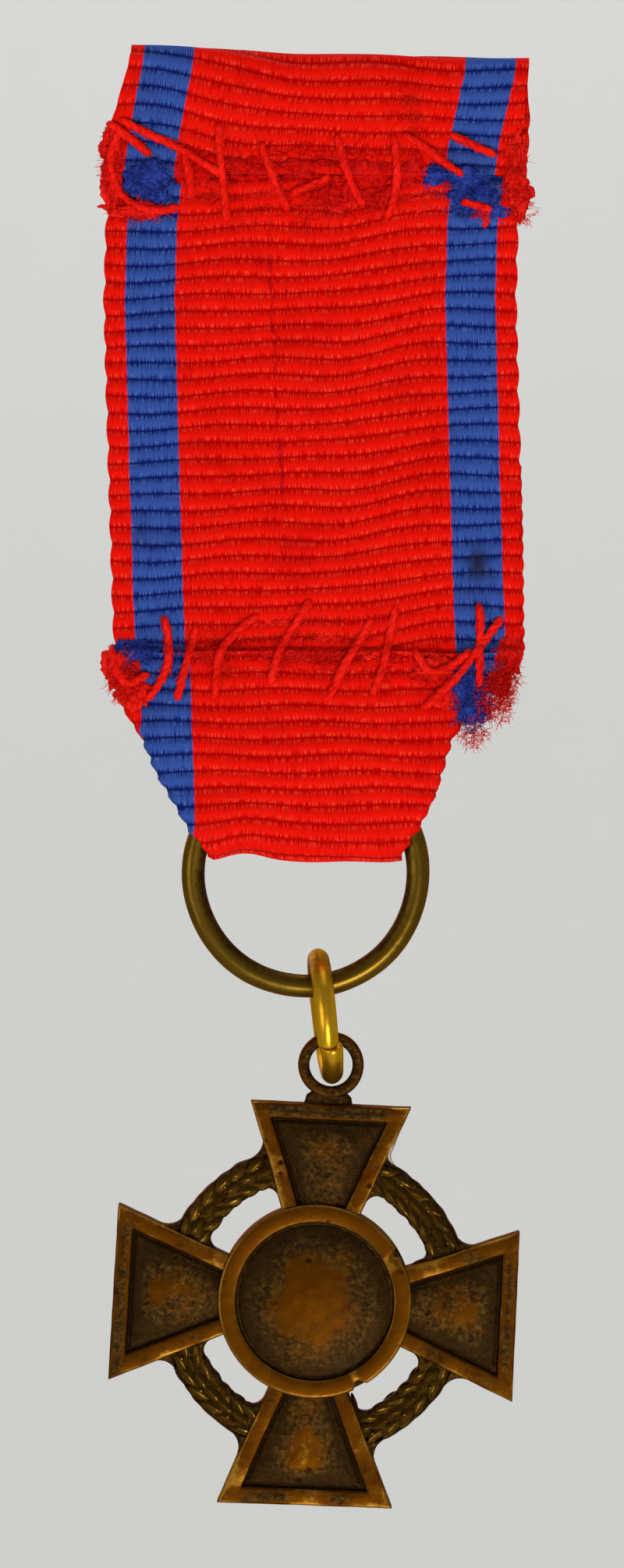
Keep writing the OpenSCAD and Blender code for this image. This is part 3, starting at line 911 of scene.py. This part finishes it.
def arm_face(longer, wider, seed, heart, tip):
    """One face of the upper arm as a grid of points, with its wear; rows run inwards from the outer edge.

    heart and tip are how rubbed its middle and its tip are.
    """
    inset, drop, wear = np.array(ARM_PROFILE).T
    edge_count, deep = len(inset), inset[-1]
    along, across = np.linspace(0, 1, 30)[1:], np.linspace(0, 1, 27)[1:-1]
    field_top = ARM_REACH - deep
    y = np.concatenate([ARM_REACH - inset, field_top + (ARM_ROOT - field_top) * along])[:, None]
    half = ARM_HALF - (ARM_REACH - y) * FLARE
    slope = 1 / math.cos(math.atan(FLARE))
    inner = half - deep * slope
    x = np.hstack([-half + inset * slope, -inner + 2 * inner * across, half - inset[::-1] * slope])
    from_side = np.concatenate([inset, np.full(len(across), deep), inset[::-1]])
    from_tip = np.concatenate([inset, np.full(len(along), deep)])[:, None]
    near = np.minimum(from_side, from_tip)
    # the sunk field swells in its middle
    place = 2 * (np.arange(x.shape[1]) - edge_count) / (len(across) - 1) - 1
    swell = np.maximum(0, 1 - place ** 2) * smooth_step(ARM_REACH - y, deep, deep + 0.9) * (near >= deep)
    z = CROSS_T / 2 - np.interp(near, inset, drop) + 0.115 * swell
    field_wear = 0.02 + 0.15 * swell + heart * swell ** 2 * np.exp(-((y - 6.2) / 1.2) ** 2 - (x / 0.9) ** 2)
    worn = np.where(near >= deep, field_wear, np.interp(near, inset, wear))
    worn += tip * smooth_step(y, ARM_REACH - 0.9, ARM_REACH - 0.3) * (1 - smooth_step(np.abs(x), 1.9, 3.0))
    # out of square at the tip
    skew = (longer[0] + longer[1]) / 2 + (longer[0] - longer[1]) / 2 * x / ARM_HALF
    spread = np.where(x > 0, *wider) * x / half * (y - ARM_ROOT) / (ARM_REACH - ARM_ROOT)
    points = np.stack([x + spread, y + skew * smooth_step(y, 5.0, ARM_REACH), z], axis=-1)
    flat = points.reshape(-1, 3)
    flat[:, 2] += 0.016 * bumps(flat, 1.9, seed) + 0.008 * bumps(flat, 6.5, seed + 3)
    worn += 0.45 * bumps(flat, 0.9, seed + 21).reshape(worn.shape) * (worn > 0.3)
    flat[:, 0] += 0.018 * bumps(flat, 1.3, seed + 9)
    flat[:, 1] += 0.014 * bumps(flat, 1.6, seed + 17)
    return points, worn


def add_arm(shell, arm, longer, wider, heart, tip):
    """One arm: its two faces, the side walls between their borders and a cap over its root."""
    near, near_worn = arm_face(longer, wider, 11.0 * arm, heart, tip)
    far, far_worn = arm_face(longer, wider, 11.0 * arm + 5, 0.25, 0.0)
    far = np.stack([near[..., 0], near[..., 1], -far[..., 2]], axis=-1)
    for face, worn in ((near, near_worn), (far, far_worn)):
        shell.add(turned(face, 90 * arm), grid_faces(*worn.shape), worn.ravel())
    top, low = (np.concatenate([face[::-1, 0], face[0, 1:], face[1:, -1]]) for face in (near, far))
    levels = np.linspace(0, 1, 7)
    wall = np.array([top * (1 - t) + low * t for t in levels])
    edge = np.exp(-np.minimum(levels, 1 - levels) / 0.10)
    shell.add(turned(wall, 90 * arm), grid_faces(*wall.shape[:2]), np.repeat(0.22 + 0.55 * edge, len(top)))
    root = np.vstack([near[-1], wall[1:-1, -1], far[-1][::-1], wall[1:-1, 0][::-1]])
    shell.add(turned(root, 90 * arm), [tuple(range(len(root)))], 0.2)


def add_burr(shell, where, size, heading, wear):
    """An uneven rounded drop of metal lying in the cross's plane."""
    rows, cols = 12, 18
    unit, seed = ball(rows, cols), where[0]
    rough = 1 + 0.22 * bumps(unit, 1.6, seed) + 0.08 * bumps(unit, 5.0, seed + 2)
    p = turned(unit * np.array(size) * rough[:, None], heading) + (*where, 0)
    shell.add(p, grid_faces(rows, cols, close_cols=True), wear)


def add_fillet(shell, arm, side, wider, radius, run, outside):
    """Fills the corner between an arm's side and the wreath with a hollow curve."""
    # where the arm's edge crosses the wreath's circle
    y = np.linspace(3.0, ARM_REACH, 4000)
    flare = FLARE + wider / (ARM_REACH - ARM_ROOT)
    x = ARM_HALF + wider - (ARM_REACH - y) * flare
    k = int(np.argmin(np.abs(np.hypot(x, y) - radius)))
    corner = np.array([x[k], y[k]])
    edge = np.array([flare, 1.0]) / math.hypot(flare, 1.0)
    first = corner + edge * run * (1 if outside else -1)
    turn = math.atan2(corner[0], corner[1]) + run / radius
    last = np.array(at_angle(radius + (-0.04 if outside else 0.04), turn))
    t = np.linspace(0, 1, 9)[:, None]
    bent = corner + 0.12 * (first + last - 2 * corner)
    curve = (1 - t) ** 2 * first + 2 * t * (1 - t) * bent + t ** 2 * last
    inner = corner - 0.35 * ((first + last) / 2 - corner)
    mirror = (side, 1)
    outline, inner = np.vstack([curve, inner]) * mirror, inner * mirror
    layers = []
    for z, pull in ((-0.42, 0.16), (-0.34, 0.0), (0.34, 0.0), (0.42, 0.16)):
        layers.append(np.column_stack([outline + (inner - outline) * pull, np.full(len(outline), z)]))
    shell.add(turned(layers, 90 * arm), closed_grid(len(layers), len(outline)), 0.18)


def cross_arms():
    shell = Shell()
    for k, arm in enumerate(ARMS):
        add_arm(shell, k, *arm)
    # metal left in the corners where the wreath meets the arms, and a few burrs
    for k, (_, wider, _, _) in enumerate(ARMS):
        for side, widening in ((-1, wider[1]), (1, wider[0])):
            add_fillet(shell, k, side, widening, WREATH_OUT, 0.62, True)
            add_fillet(shell, k, side, widening, WREATH_IN, 0.50, False)
    for burr in BURRS:
        add_burr(shell, *burr)
    # hub under the centre rings, as radius and height
    hub = [(3.3, 0.47), (3.72, 0.42), (3.76, 0.2), (3.76, 0), (3.76, -0.2), (3.72, -0.42), (3.3, -0.47)]
    angles = np.linspace(0, 2 * math.pi, 120, endpoint=False)
    points = [[(*at_angle(r, a), z) for a in angles] for r, z in hub]
    shell.add(points, closed_grid(len(hub), len(angles)), 0.1)
    hang_on_cross(shell, "cross_arms", cross_bronze, "cross_bronze", "cross_plate", weld=0.002, sharp=60)


def painted_glint_burr():
    """A near-white burr on the side of the upper arm, where it meets the wreath, painted in as a glint."""
    shell = Shell()
    path = np.array([(2.93, 7.15, 0.46), (2.67, 6.45, 0.53), (2.47, 5.92, 0.53), (2.72, 5.58, 0.42)])
    t = np.linspace(0, 1, 14)
    steps = np.linspace(0, 1, len(path))
    burr = np.column_stack([np.interp(t, steps, path[:, k]) for k in range(3)])
    burr[1:-1] = (burr[:-2] + burr[1:-1] + burr[2:]) / 3
    add_tube(shell, burr, 0.085 * np.sin(math.pi * np.clip(t * 0.9 + 0.05, 0, 1)) + 0.012, 8)
    hang_on_cross(shell, "painted_glint_burr", glint_metal, "cross_bronze")


def lathe(shell, profile, wear, steps, edit, centre=(0, 0, 0)):
    """Turns a profile of radius and height about the cross's z; edit may change the points and their wear."""
    turn = np.linspace(0, 2 * math.pi, steps, endpoint=False)
    profile = np.asarray(profile, float)
    ring = np.array([[(*at_angle(r, a), z) for r, z in profile] for a in turn])
    worn = np.broadcast_to(np.asarray(wear, float), (steps, len(profile))).copy()
    ring, worn = edit(ring, worn, turn)
    on_axis = min(profile[0, 0], profile[-1, 0]) < 1e-6
    faces = grid_faces(steps, len(profile), close_rows=True, close_cols=not on_axis)
    shell.add(ring + np.array(centre), faces, worn.ravel())


def centre_ring(name, node, nicks, obverse=False):
    """A raised ring round the centre; a nick is its angle, width in degrees, depth and how far it is sunk."""
    top, seed = CENTRE_T / 2, -31.0 if obverse else 31.0
    # radius, height and wear
    profile = np.array([
        (RIM_OUT - 0.03, 0.02, 0.2), (RIM_OUT, 0.08, 0.3), (RIM_OUT, top - 0.13, 0.72),
        (RIM_OUT - 0.02, top - 0.05, 1.02), (RIM_OUT - 0.07, top - 0.008, 0.98),
        (RIM_OUT - 0.14, top, 0.66), (3.48, top + 0.004, 0.55),
        (RIM_IN + 0.10, top, 0.66), (RIM_IN + 0.035, top - 0.015, 0.92), (RIM_IN, top - 0.07, 0.55),
        (RIM_IN - 0.02, top - 0.26, -0.2), (RIM_IN - 0.02, 0.03, -0.3),
    ])

    def edit(ring, worn, turn):
        for angle, width, depth, sink in nicks:
            gap = (turn - math.radians(angle) + math.pi) % (2 * math.pi) - math.pi
            bite = np.exp(-(gap / math.radians(width)) ** 4)[:, None]
            reach = np.hypot(ring[..., 0], ring[..., 1])
            cut = bite * smooth_step(reach, RIM_OUT - depth - 0.25, RIM_OUT) * depth
            ring[..., :2] *= (1 - cut / reach)[..., None]
            outward = smooth_step(reach, RIM_OUT - 0.4, RIM_OUT)
            ring[..., 2] -= bite * outward * smooth_step(ring[..., 2], 0.2, top) * sink
            worn += bite * 0.25
        flat = ring.reshape(-1, 3)
        flat[:, 2] += 0.010 * bumps(flat, 1.4, seed) + 0.004 * bumps(flat, 7.0, 7.0)
        return ring, worn

    shell = Shell()
    lathe(shell, profile[:, :2], profile[:, 2], 300, edit)
    hang_on_cross(shell, name, centre_bronze, "centre_bronze", node, obverse=obverse, sharp=70)


def centre_dome(name, node, obverse=False, petals=0):
    """The domed field inside a centre ring, plain or with a rosette."""
    lip = [RIM_IN + 0.01, RIM_IN - 0.05, RIM_IN - 0.12]
    radii = np.concatenate([lip, np.linspace(RIM_IN - 0.2, 0.0, 34)])
    bulge = 1 - (radii / RIM_IN) ** 2
    height = FIELD_LEVEL + 0.30 * bulge
    height[:2] -= (0.05, 0.03)
    axis, back = 1e-7, FIELD_LEVEL - 0.12           # the flat back is hidden in the hub
    profile = np.vstack([(axis, back), (radii[0], back), np.column_stack([np.maximum(radii, axis), height])])
    worn_spot = np.concatenate([[0.0, 0.0], 0.54 * np.exp(-(radii / 1.75) ** 3) + 0.03 + 0.09 * bulge])

    def edit(ring, worn, turn):
        flat = ring.reshape(-1, 3)
        reach = np.hypot(flat[:, 0], flat[:, 1])
        broad = bumps(flat, 0.55, 2.0 if obverse else 4.0)
        flat[:, 2] += (0.030 * broad + 0.012 * bumps(flat, 2.3, 8.0)) * (1 - smooth_step(reach, 2.7, 3.0))
        patches = 0.26 * bumps(flat, 0.8, 21.0) + 0.12 * bumps(flat, 2.6, 4.0)
        worn += (patches * np.exp(-(reach / 2.2) ** 4)).reshape(worn.shape)
        if petals:
            angle = np.arctan2(flat[:, 0], flat[:, 1])
            leaf = np.abs(np.cos(angle * petals / 2)) ** 0.7
            outside = smooth_step(reach, 1.6 + 0.5 * leaf, 2.2 + 0.5 * leaf)
            bloom = leaf * smooth_step(reach, 0.5, 0.9) * (1 - outside)
            flat[:, 2] += 0.13 * bloom + 0.14 * (1 - smooth_step(reach, 0.40, 0.58))
            worn += (0.5 * bloom).reshape(worn.shape)
        return ring, worn

    shell = Shell()
    lathe(shell, profile, worn_spot, 180, edit)
    hang_on_cross(shell, name, centre_bronze, "centre_bronze", node, obverse=obverse, weld=0.0005)


def oblong(angle, power):
    """Cosine and sine of an angle, pushed out towards the corners of a square."""
    both = np.array([np.cos(angle), np.sin(angle)])
    return np.sign(both) * np.abs(both) ** power


def eyelet_loop():
    shell = Shell()
    low, high = mm_box("eyelet")
    half_t = (high[1] - low[1]) / 2
    hole, out = 0.85, 1.30
    mid, half = (hole + out) / 2, (out - hole) / 2
    c, s = oblong(np.linspace(0, 2 * math.pi, 28, endpoint=False), 0.42)
    section = np.column_stack([mid + half * c, half_t * s])
    lathe(shell, section, 0.22 + 0.30 * np.maximum(0, c), 120, centre=(0, EYELET_REACH, 0),
          edit=lambda ring, worn, turn: (ring * (1 + 0.006 * np.sin(3 * turn))[:, None, None], worn))
    # neck: starts inside the arm's rim, flares down to it and runs up to the loop
    t = np.linspace(0, 1, 11)[:, None]
    c, s = oblong(np.linspace(0, 2 * math.pi, 48, endpoint=False), 0.5)
    half_w = 0.90 + 0.16 * (1 - t) ** 4 - 0.30 * smooth_step(t, 0.55, 1.0)
    start, end = ARM_REACH - 0.32, EYELET_REACH - hole - 0.12
    depth = half_t * (0.90 + 0.14 * (1 - t) ** 3)
    neck = np.stack([half_w * c, start + t * (end - start) + 0 * c, depth * s], axis=-1)
    shell.add(neck, closed_grid(*neck.shape[:2]), 0.12)
    hang_on_cross(shell, "eyelet_loop", cross_bronze, "cross_bronze", "eyelet", weld=0.0005, sharp=55)


# ---------------------------------------------------------------- laurel wreath

# The three rows of leaves: radius, turn from the wreath's run in degrees, and size
LEAF_TRACKS = ((5.12, 16, 1.12), (5.52, 2, 1.10), (5.90, -15, 1.15))
MIDDLE_TRACK = 1


def add_leaf(shell, centre, heading, length, width, height, base_z, side, rng):
    """A pointed leaf with a raised mid rib, lying on the wreath; heading is in the cross's plane."""
    t, v = np.linspace(0, 1, 11)[:, None], np.linspace(-1, 1, 9)[None]
    rows, cols = len(t), v.shape[1]
    arch = np.sin(math.pi * t)
    half = width / 2 * np.sin(math.pi * t ** 0.85) ** 0.8 + 0.004
    body = (1 - v * v) ** 0.6 * arch ** 0.5
    z = height * (body * (0.85 - 0.2 * np.abs(v)) + 0.22 * np.exp(-(v / 0.16) ** 2) * arch)
    x, y = spun(half * v + 0.06 * length * arch, (t - 0.5) * length + 0 * v, heading)
    count = rows * cols
    top = np.column_stack([x.ravel() + centre[0], y.ravel() + centre[1],
                           base_z + z.ravel() + 0.006 * rng.normal(size=count)])
    bottom = np.column_stack([top[:, :2], np.full(count, base_z - 0.12)])
    faces = grid_faces(rows, cols)
    faces += [tuple(k + count for k in reversed(f)) for f in faces]
    number = np.arange(count).reshape(rows, cols)
    rim = [*number[0], *number[1:, -1], *number[-1, -2::-1], *number[-2:0:-1, 0]]
    rim = [int(k) for k in rim]
    faces += [(a, a + count, b + count, b) for a, b in zip(rim, rim[1:] + rim[:1])]
    wear = np.concatenate([0.12 + 0.75 * np.maximum(0, z / height).ravel() ** 1.5, np.zeros(count)])
    shell.add(np.concatenate([top, bottom]) * (1, 1, side), faces, wear)


def add_berry(shell, centre, radius, base_z, side):
    rows, cols = 7, 12
    up = np.linspace(0, math.pi / 2, rows)[:, None]
    way = 2 * math.pi * np.arange(cols) / cols
    flat_r = radius * np.cos(up)
    height = side * (base_z + radius * 0.8 * np.sin(up))
    points = np.stack([centre[0] + flat_r * np.cos(way), centre[1] + flat_r * np.sin(way), height + 0 * way], axis=-1)
    faces = grid_faces(rows, cols, close_cols=True) + [tuple(range(cols))]
    shell.add(points, faces, np.repeat(0.35 + 0.6 * np.sin(up), cols))


def add_band(shell, middle, seed):
    """The curved band under the leaves."""
    turn = np.radians(np.linspace(middle - 24.0, middle + 24.0, 60))
    half_band = [(WREATH_IN, 0.0), (WREATH_IN + 0.03, 0.30), (WREATH_IN + 0.16, 0.40), (5.5, 0.44),
                 (WREATH_OUT - 0.22, 0.38), (WREATH_OUT - 0.05, 0.28), (WREATH_OUT, 0.0)]
    section = half_band + [(r, -z) for r, z in reversed(half_band[1:-1])]
    points = np.array([[(*at_angle(r, a), z) for r, z in section] for a in turn])
    flat = points.reshape(-1, 3)
    flat *= (1 + 0.010 * bumps(flat, 2.2, seed))[:, None]
    flat[:, 2] *= 1 + 0.10 * bumps(flat, 3.0, seed + 5)
    near_side = len(half_band) - 1
    wear = np.tile([0.1 if 0 < k < near_side else 0.45 for k in range(len(section))], len(turn))
    shell.add(points, closed_grid(len(turn), len(section)), wear)


def laurel(name, quarter, node, seed):
    """One quarter of the wreath: a curved band with overlapping leaves in three rows on both faces."""
    rng = np.random.default_rng(seed)
    shell = Shell()
    middle = 45 + 90 * quarter
    add_band(shell, middle, seed)
    for side in (1, -1):
        for k in range(6):
            start = middle - 19.5 + 7.4 * k
            for track, (radius, splay, size) in enumerate(LEAF_TRACKS):
                raised = track == MIDDLE_TRACK
                place = start + 3.4 * raised + rng.uniform(-0.7, 0.7)
                if abs(place - middle) > 21.5:
                    continue
                a = math.radians(place)
                centre = at_angle(radius + rng.uniform(-0.03, 0.03), a)
                heading = a + math.radians(90 + splay + rng.uniform(-6, 6))
                height, base_z = (0.18, 0.385) if raised else (0.15, 0.36)
                add_leaf(shell, centre, heading, size, 0.44 * size, height, base_z, side, rng)
            if k % 2:
                add_berry(shell, at_angle(5.72, math.radians(start)), 0.09, 0.46, side)
    hang_on_cross(shell, name, wreath_bronze, "wreath_bronze", node, weld=0.0002, sharp=65)


# ---------------------------------------------------------------- make the object

ribbon_strip()
sewing("upper_sewing", UPPER_STITCHES, 100, "upper_stitches")
sewing("lower_sewing", LOWER_STITCHES, 300, "lower_stitches")
suspension_ring()
jump_ring()
cross_arms()
painted_glint_burr()
centre_ring("reverse_centre_ring", "reverse_rim",
            [(56, 2.4, 0.20, 0.10), (62, 5.0, 0.05, 0.08), (148, 3.2, 0.26, 0.02)])
centre_ring("obverse_centre_ring", "obverse_rim", [(230, 4.0, 0.06, 0.03)], obverse=True)
centre_dome("reverse_centre_dome", "reverse_field")
centre_dome("obverse_centre_dome", "obverse_field", obverse=True, petals=12)
eyelet_loop()
for quarter, where in enumerate(("upper_right", "lower_right", "lower_left", "upper_left")):
    laurel("laurel_leaves_" + where, quarter, "laurel_" + where, 40 + quarter)

# Frayed ends: felted lumps (centre, half size, depth), then patches of loose fibres (count, centre, spread,
# lift, and where they differ from add_fibres's own, length and radius)
SHORT = (0.18, 0.46)                                   # lengths
THIN, THICK = (0.010, 0.018), (0.012, 0.024)           # radii
frayed("upper_mat", shaded_red_mat, 5,
       [((-4.7, -3.5), (0.7, 0.85), 0.10), ((-3.5, -4.2), (0.8, 0.5), 0.08), ((-2.4, -3.3), (0.8, 0.45), 0.08),
        ((-1.5, -4.3), (1.0, 0.45), 0.09), ((-0.2, -3.4), (0.9, 0.5), 0.07), ((0.9, -4.3), (0.9, 0.55), 0.10),
        ((2.0, -3.5), (0.9, 0.55), 0.08), ((2.9, -4.4), (0.8, 0.5), 0.10), ((3.8, -3.3), (0.6, 0.6), 0.08)],
       [(520, (-0.4, -3.7), (5.2, 1.35), (0.0, 0.10))])
frayed("upper_fray_red", red_fibre, 9,
       [((-7.95, -2.6), (0.42, 0.9), 0.24), ((-8.0, -3.9), (0.40, 0.9), 0.24), ((-7.1, -4.95), (1.1, 0.34), 0.22),
        ((8.0, -2.7), (0.36, 0.9), 0.16), ((8.1, -4.2), (0.45, 0.9), 0.18), ((6.7, -5.25), (0.4, 0.35), 0.14),
        ((4.4, -4.6), (0.5, 0.4), 0.10)],
       [(200, (-7.9, -3.2), (0.36, 1.5), (0.12, 0.25), SHORT, THICK),
        (110, (-6.9, -4.95), (1.2, 0.4), (0.08, 0.22), SHORT, THICK),
        (230, (8.0, -3.6), (0.45, 1.7), (0.05, 0.2), SHORT),
        (120, (8.3, -4.7), (0.5, 0.8), (0.05, 0.2), SHORT, THIN),
        (160, (0.0, -4.6), (4.6, 0.7), (0.0, 0.10)),
        (60, (3.9, -1.0), (0.5, 0.6), (0.0, 0.05))])
frayed("upper_fray_blue", blue_fibre, 6,
       [((-6.45, -3.75), (0.95, 0.72), 0.16), ((4.85, -3.65), (0.5, 0.42), 0.16), ((6.2, -4.3), (1.0, 0.75), 0.18),
        ((7.3, -5.0), (0.5, 0.4), 0.14)],
       [(220, (-6.45, -3.75), (1.0, 0.8), (0.08, 0.2), SHORT),
        (260, (6.3, -4.3), (1.2, 0.95), (0.08, 0.22), SHORT),
        (60, (4.9, -3.6), (0.6, 0.55), (0.08, 0.2), SHORT)])
frayed("lower_mat", shaded_red_mat, 10,
       [((-0.5, -22.5), (1.8, 0.4), 0.05)],
       [(200, (0.0, -22.6), (5.4, 0.85), (0.0, 0.06))])
frayed("lower_pulled", red_fibre, 12,
       [((-1.6, -21.4), (0.7, 0.5), 0.07), ((0.6, -21.8), (0.8, 0.6), 0.08), ((2.3, -22.2), (0.6, 0.5), 0.07)],
       [(420, (0.5, -21.9), (3.1, 1.0), (0.0, 0.10), (0.3, 0.8)),
        (120, (-3.6, -22.4), (0.7, 0.8), (0.0, 0.08), (0.3, 0.8))])
frayed("lower_fray_red", red_fibre, 7,
       [((-7.7, -23.0), (0.55, 0.75), 0.22), ((-7.1, -24.1), (0.55, 0.60), 0.20), ((4.7, -23.1), (0.75, 0.45), 0.20),
        ((7.8, -22.5), (0.42, 0.8), 0.18), ((7.3, -23.7), (0.40, 0.45), 0.08), ((5.2, -24.3), (0.5, 0.4), 0.10)],
       [(240, (-7.5, -23.4), (0.6, 1.1), (0.1, 0.24), SHORT, THICK),
        (110, (4.7, -23.1), (0.85, 0.55), (0.08, 0.22), SHORT, THICK),
        (220, (7.7, -23.1), (0.5, 1.2), (0.05, 0.22), SHORT),
        (260, (7.5, -23.6), (0.55, 0.7), (0.0, 0.25), SHORT, (0.010, 0.020)),
        (700, (7.2, -24.3), (0.7, 0.9), (0.0, 0.22), (0.18, 0.42), THIN),
        (260, (6.3, -25.6), (0.6, 0.6), (-0.1, 0.12), (0.18, 0.40), THIN)],
       crossing=True)
frayed("lower_fray_blue", blue_fibre, 8,
       [((-7.05, -22.4), (0.75, 0.5), 0.16), ((6.0, -23.6), (0.5, 0.8), 0.12), ((6.3, -24.7), (0.6, 0.55), 0.16)],
       [(180, (-7.0, -22.4), (0.85, 0.6), (0.08, 0.2), SHORT),
        (380, (6.25, -24.2), (0.85, 1.35), (0.04, 0.20), SHORT),
        (50, (-5.2, -22.8), (0.5, 0.7), (0.0, 0.08), SHORT)],
       crossing=True)


# ---------------------------------------------------------------- floor, lights and camera

def paper_material():
    t = Tree("studio_paper")
    fleck = t.noise(t.object_place(), 40.0).ramp(0.3, 0.7, 0.0, 0.04)
    t.surface(Base_Color=t.mix(fleck, (0.74, 0.74, 0.73), (0.6, 0.6, 0.62)), Roughness=0.9)
    return t.material


def studio_bowl():
    """A pale floor that curves up into a wall all round, well away from the object; lengths in metres."""
    floor_z, wall_r, curve, top, turns = -0.42, 1.0, 0.40, 1.0, 72
    profile = [(0.02, floor_z), (wall_r - curve, floor_z)]
    profile += [(wall_r - curve + curve * math.sin(a), floor_z + curve * (1 - math.cos(a)))
                for a in np.linspace(0, math.pi / 2, 24)[1:]]
    profile.append((wall_r, top))
    verts = [(r * math.cos(a), r * math.sin(a), z)
             for a in np.linspace(0, 2 * math.pi, turns, endpoint=False) for r, z in profile]
    faces = grid_faces(turns, len(profile), close_rows=True) + [tuple(k * len(profile) for k in range(turns))]
    mesh = bpy.data.meshes.new("studio_bowl")
    mesh.from_pydata(verts, [], faces)
    add_object("studio_bowl", mesh, paper_material())


def soft_light(name, place, size, power, aim):
    data = bpy.data.lights.new(name, "AREA")
    data.shape = "DISK"
    data.size = size
    data.energy = power
    obj = bpy.data.objects.new(name, data)
    bpy.context.collection.objects.link(obj)
    obj.location = place
    obj.rotation_euler = (Vector(aim) - Vector(place)).to_track_quat("-Z", "Y").to_euler()


def studio_world(colour, strength):
    world = bpy.data.worlds.new("studio")
    world.use_nodes = True
    background = world.node_tree.nodes["Background"]
    background.inputs[0].default_value = (*colour, 1)
    background.inputs[1].default_value = strength
    bpy.context.scene.world = world


def add_camera():
    """Looks square at the reverse; the frame is a little taller than the medal."""
    lens, sensor = 120.0, 36.0
    height = cad_high[2] - cad_low[2]
    view_height = 1.0725 * height
    data = bpy.data.cameras.new("camera")
    data.lens = lens
    data.sensor_width = sensor
    data.clip_start = 0.01
    camera = bpy.data.objects.new("camera", data)
    bpy.context.collection.objects.link(camera)
    camera.location = (-0.06 * MM, -view_height * lens / sensor, middle_z - 0.0057 * height)
    camera.rotation_euler = (math.radians(90), 0, 0)
    bpy.context.scene.camera = camera


middle_z = (cad_low[2] + cad_high[2]) / 2
medal = (0, 0, middle_z)
studio_bowl()
soft_light("key", (0.10, -0.50, -0.30), 0.22, 2.0, medal)
soft_light("fill", (-0.44, -0.42, -0.06), 0.34, 0.70, medal)
soft_light("top", (0.10, -0.05, 0.75), 0.60, 1.0, medal)
soft_light("back", (-0.25, 0.40, 0.15), 0.30, 0.6, medal)
soft_light("backdrop", (0.0, 0.30, 0.70), 0.30, 4.0, (0, 1.0, -0.3))
studio_world((0.97, 0.97, 0.96), 0.28)
add_camera()
bpy.context.scene.view_settings.view_transform = "Standard"
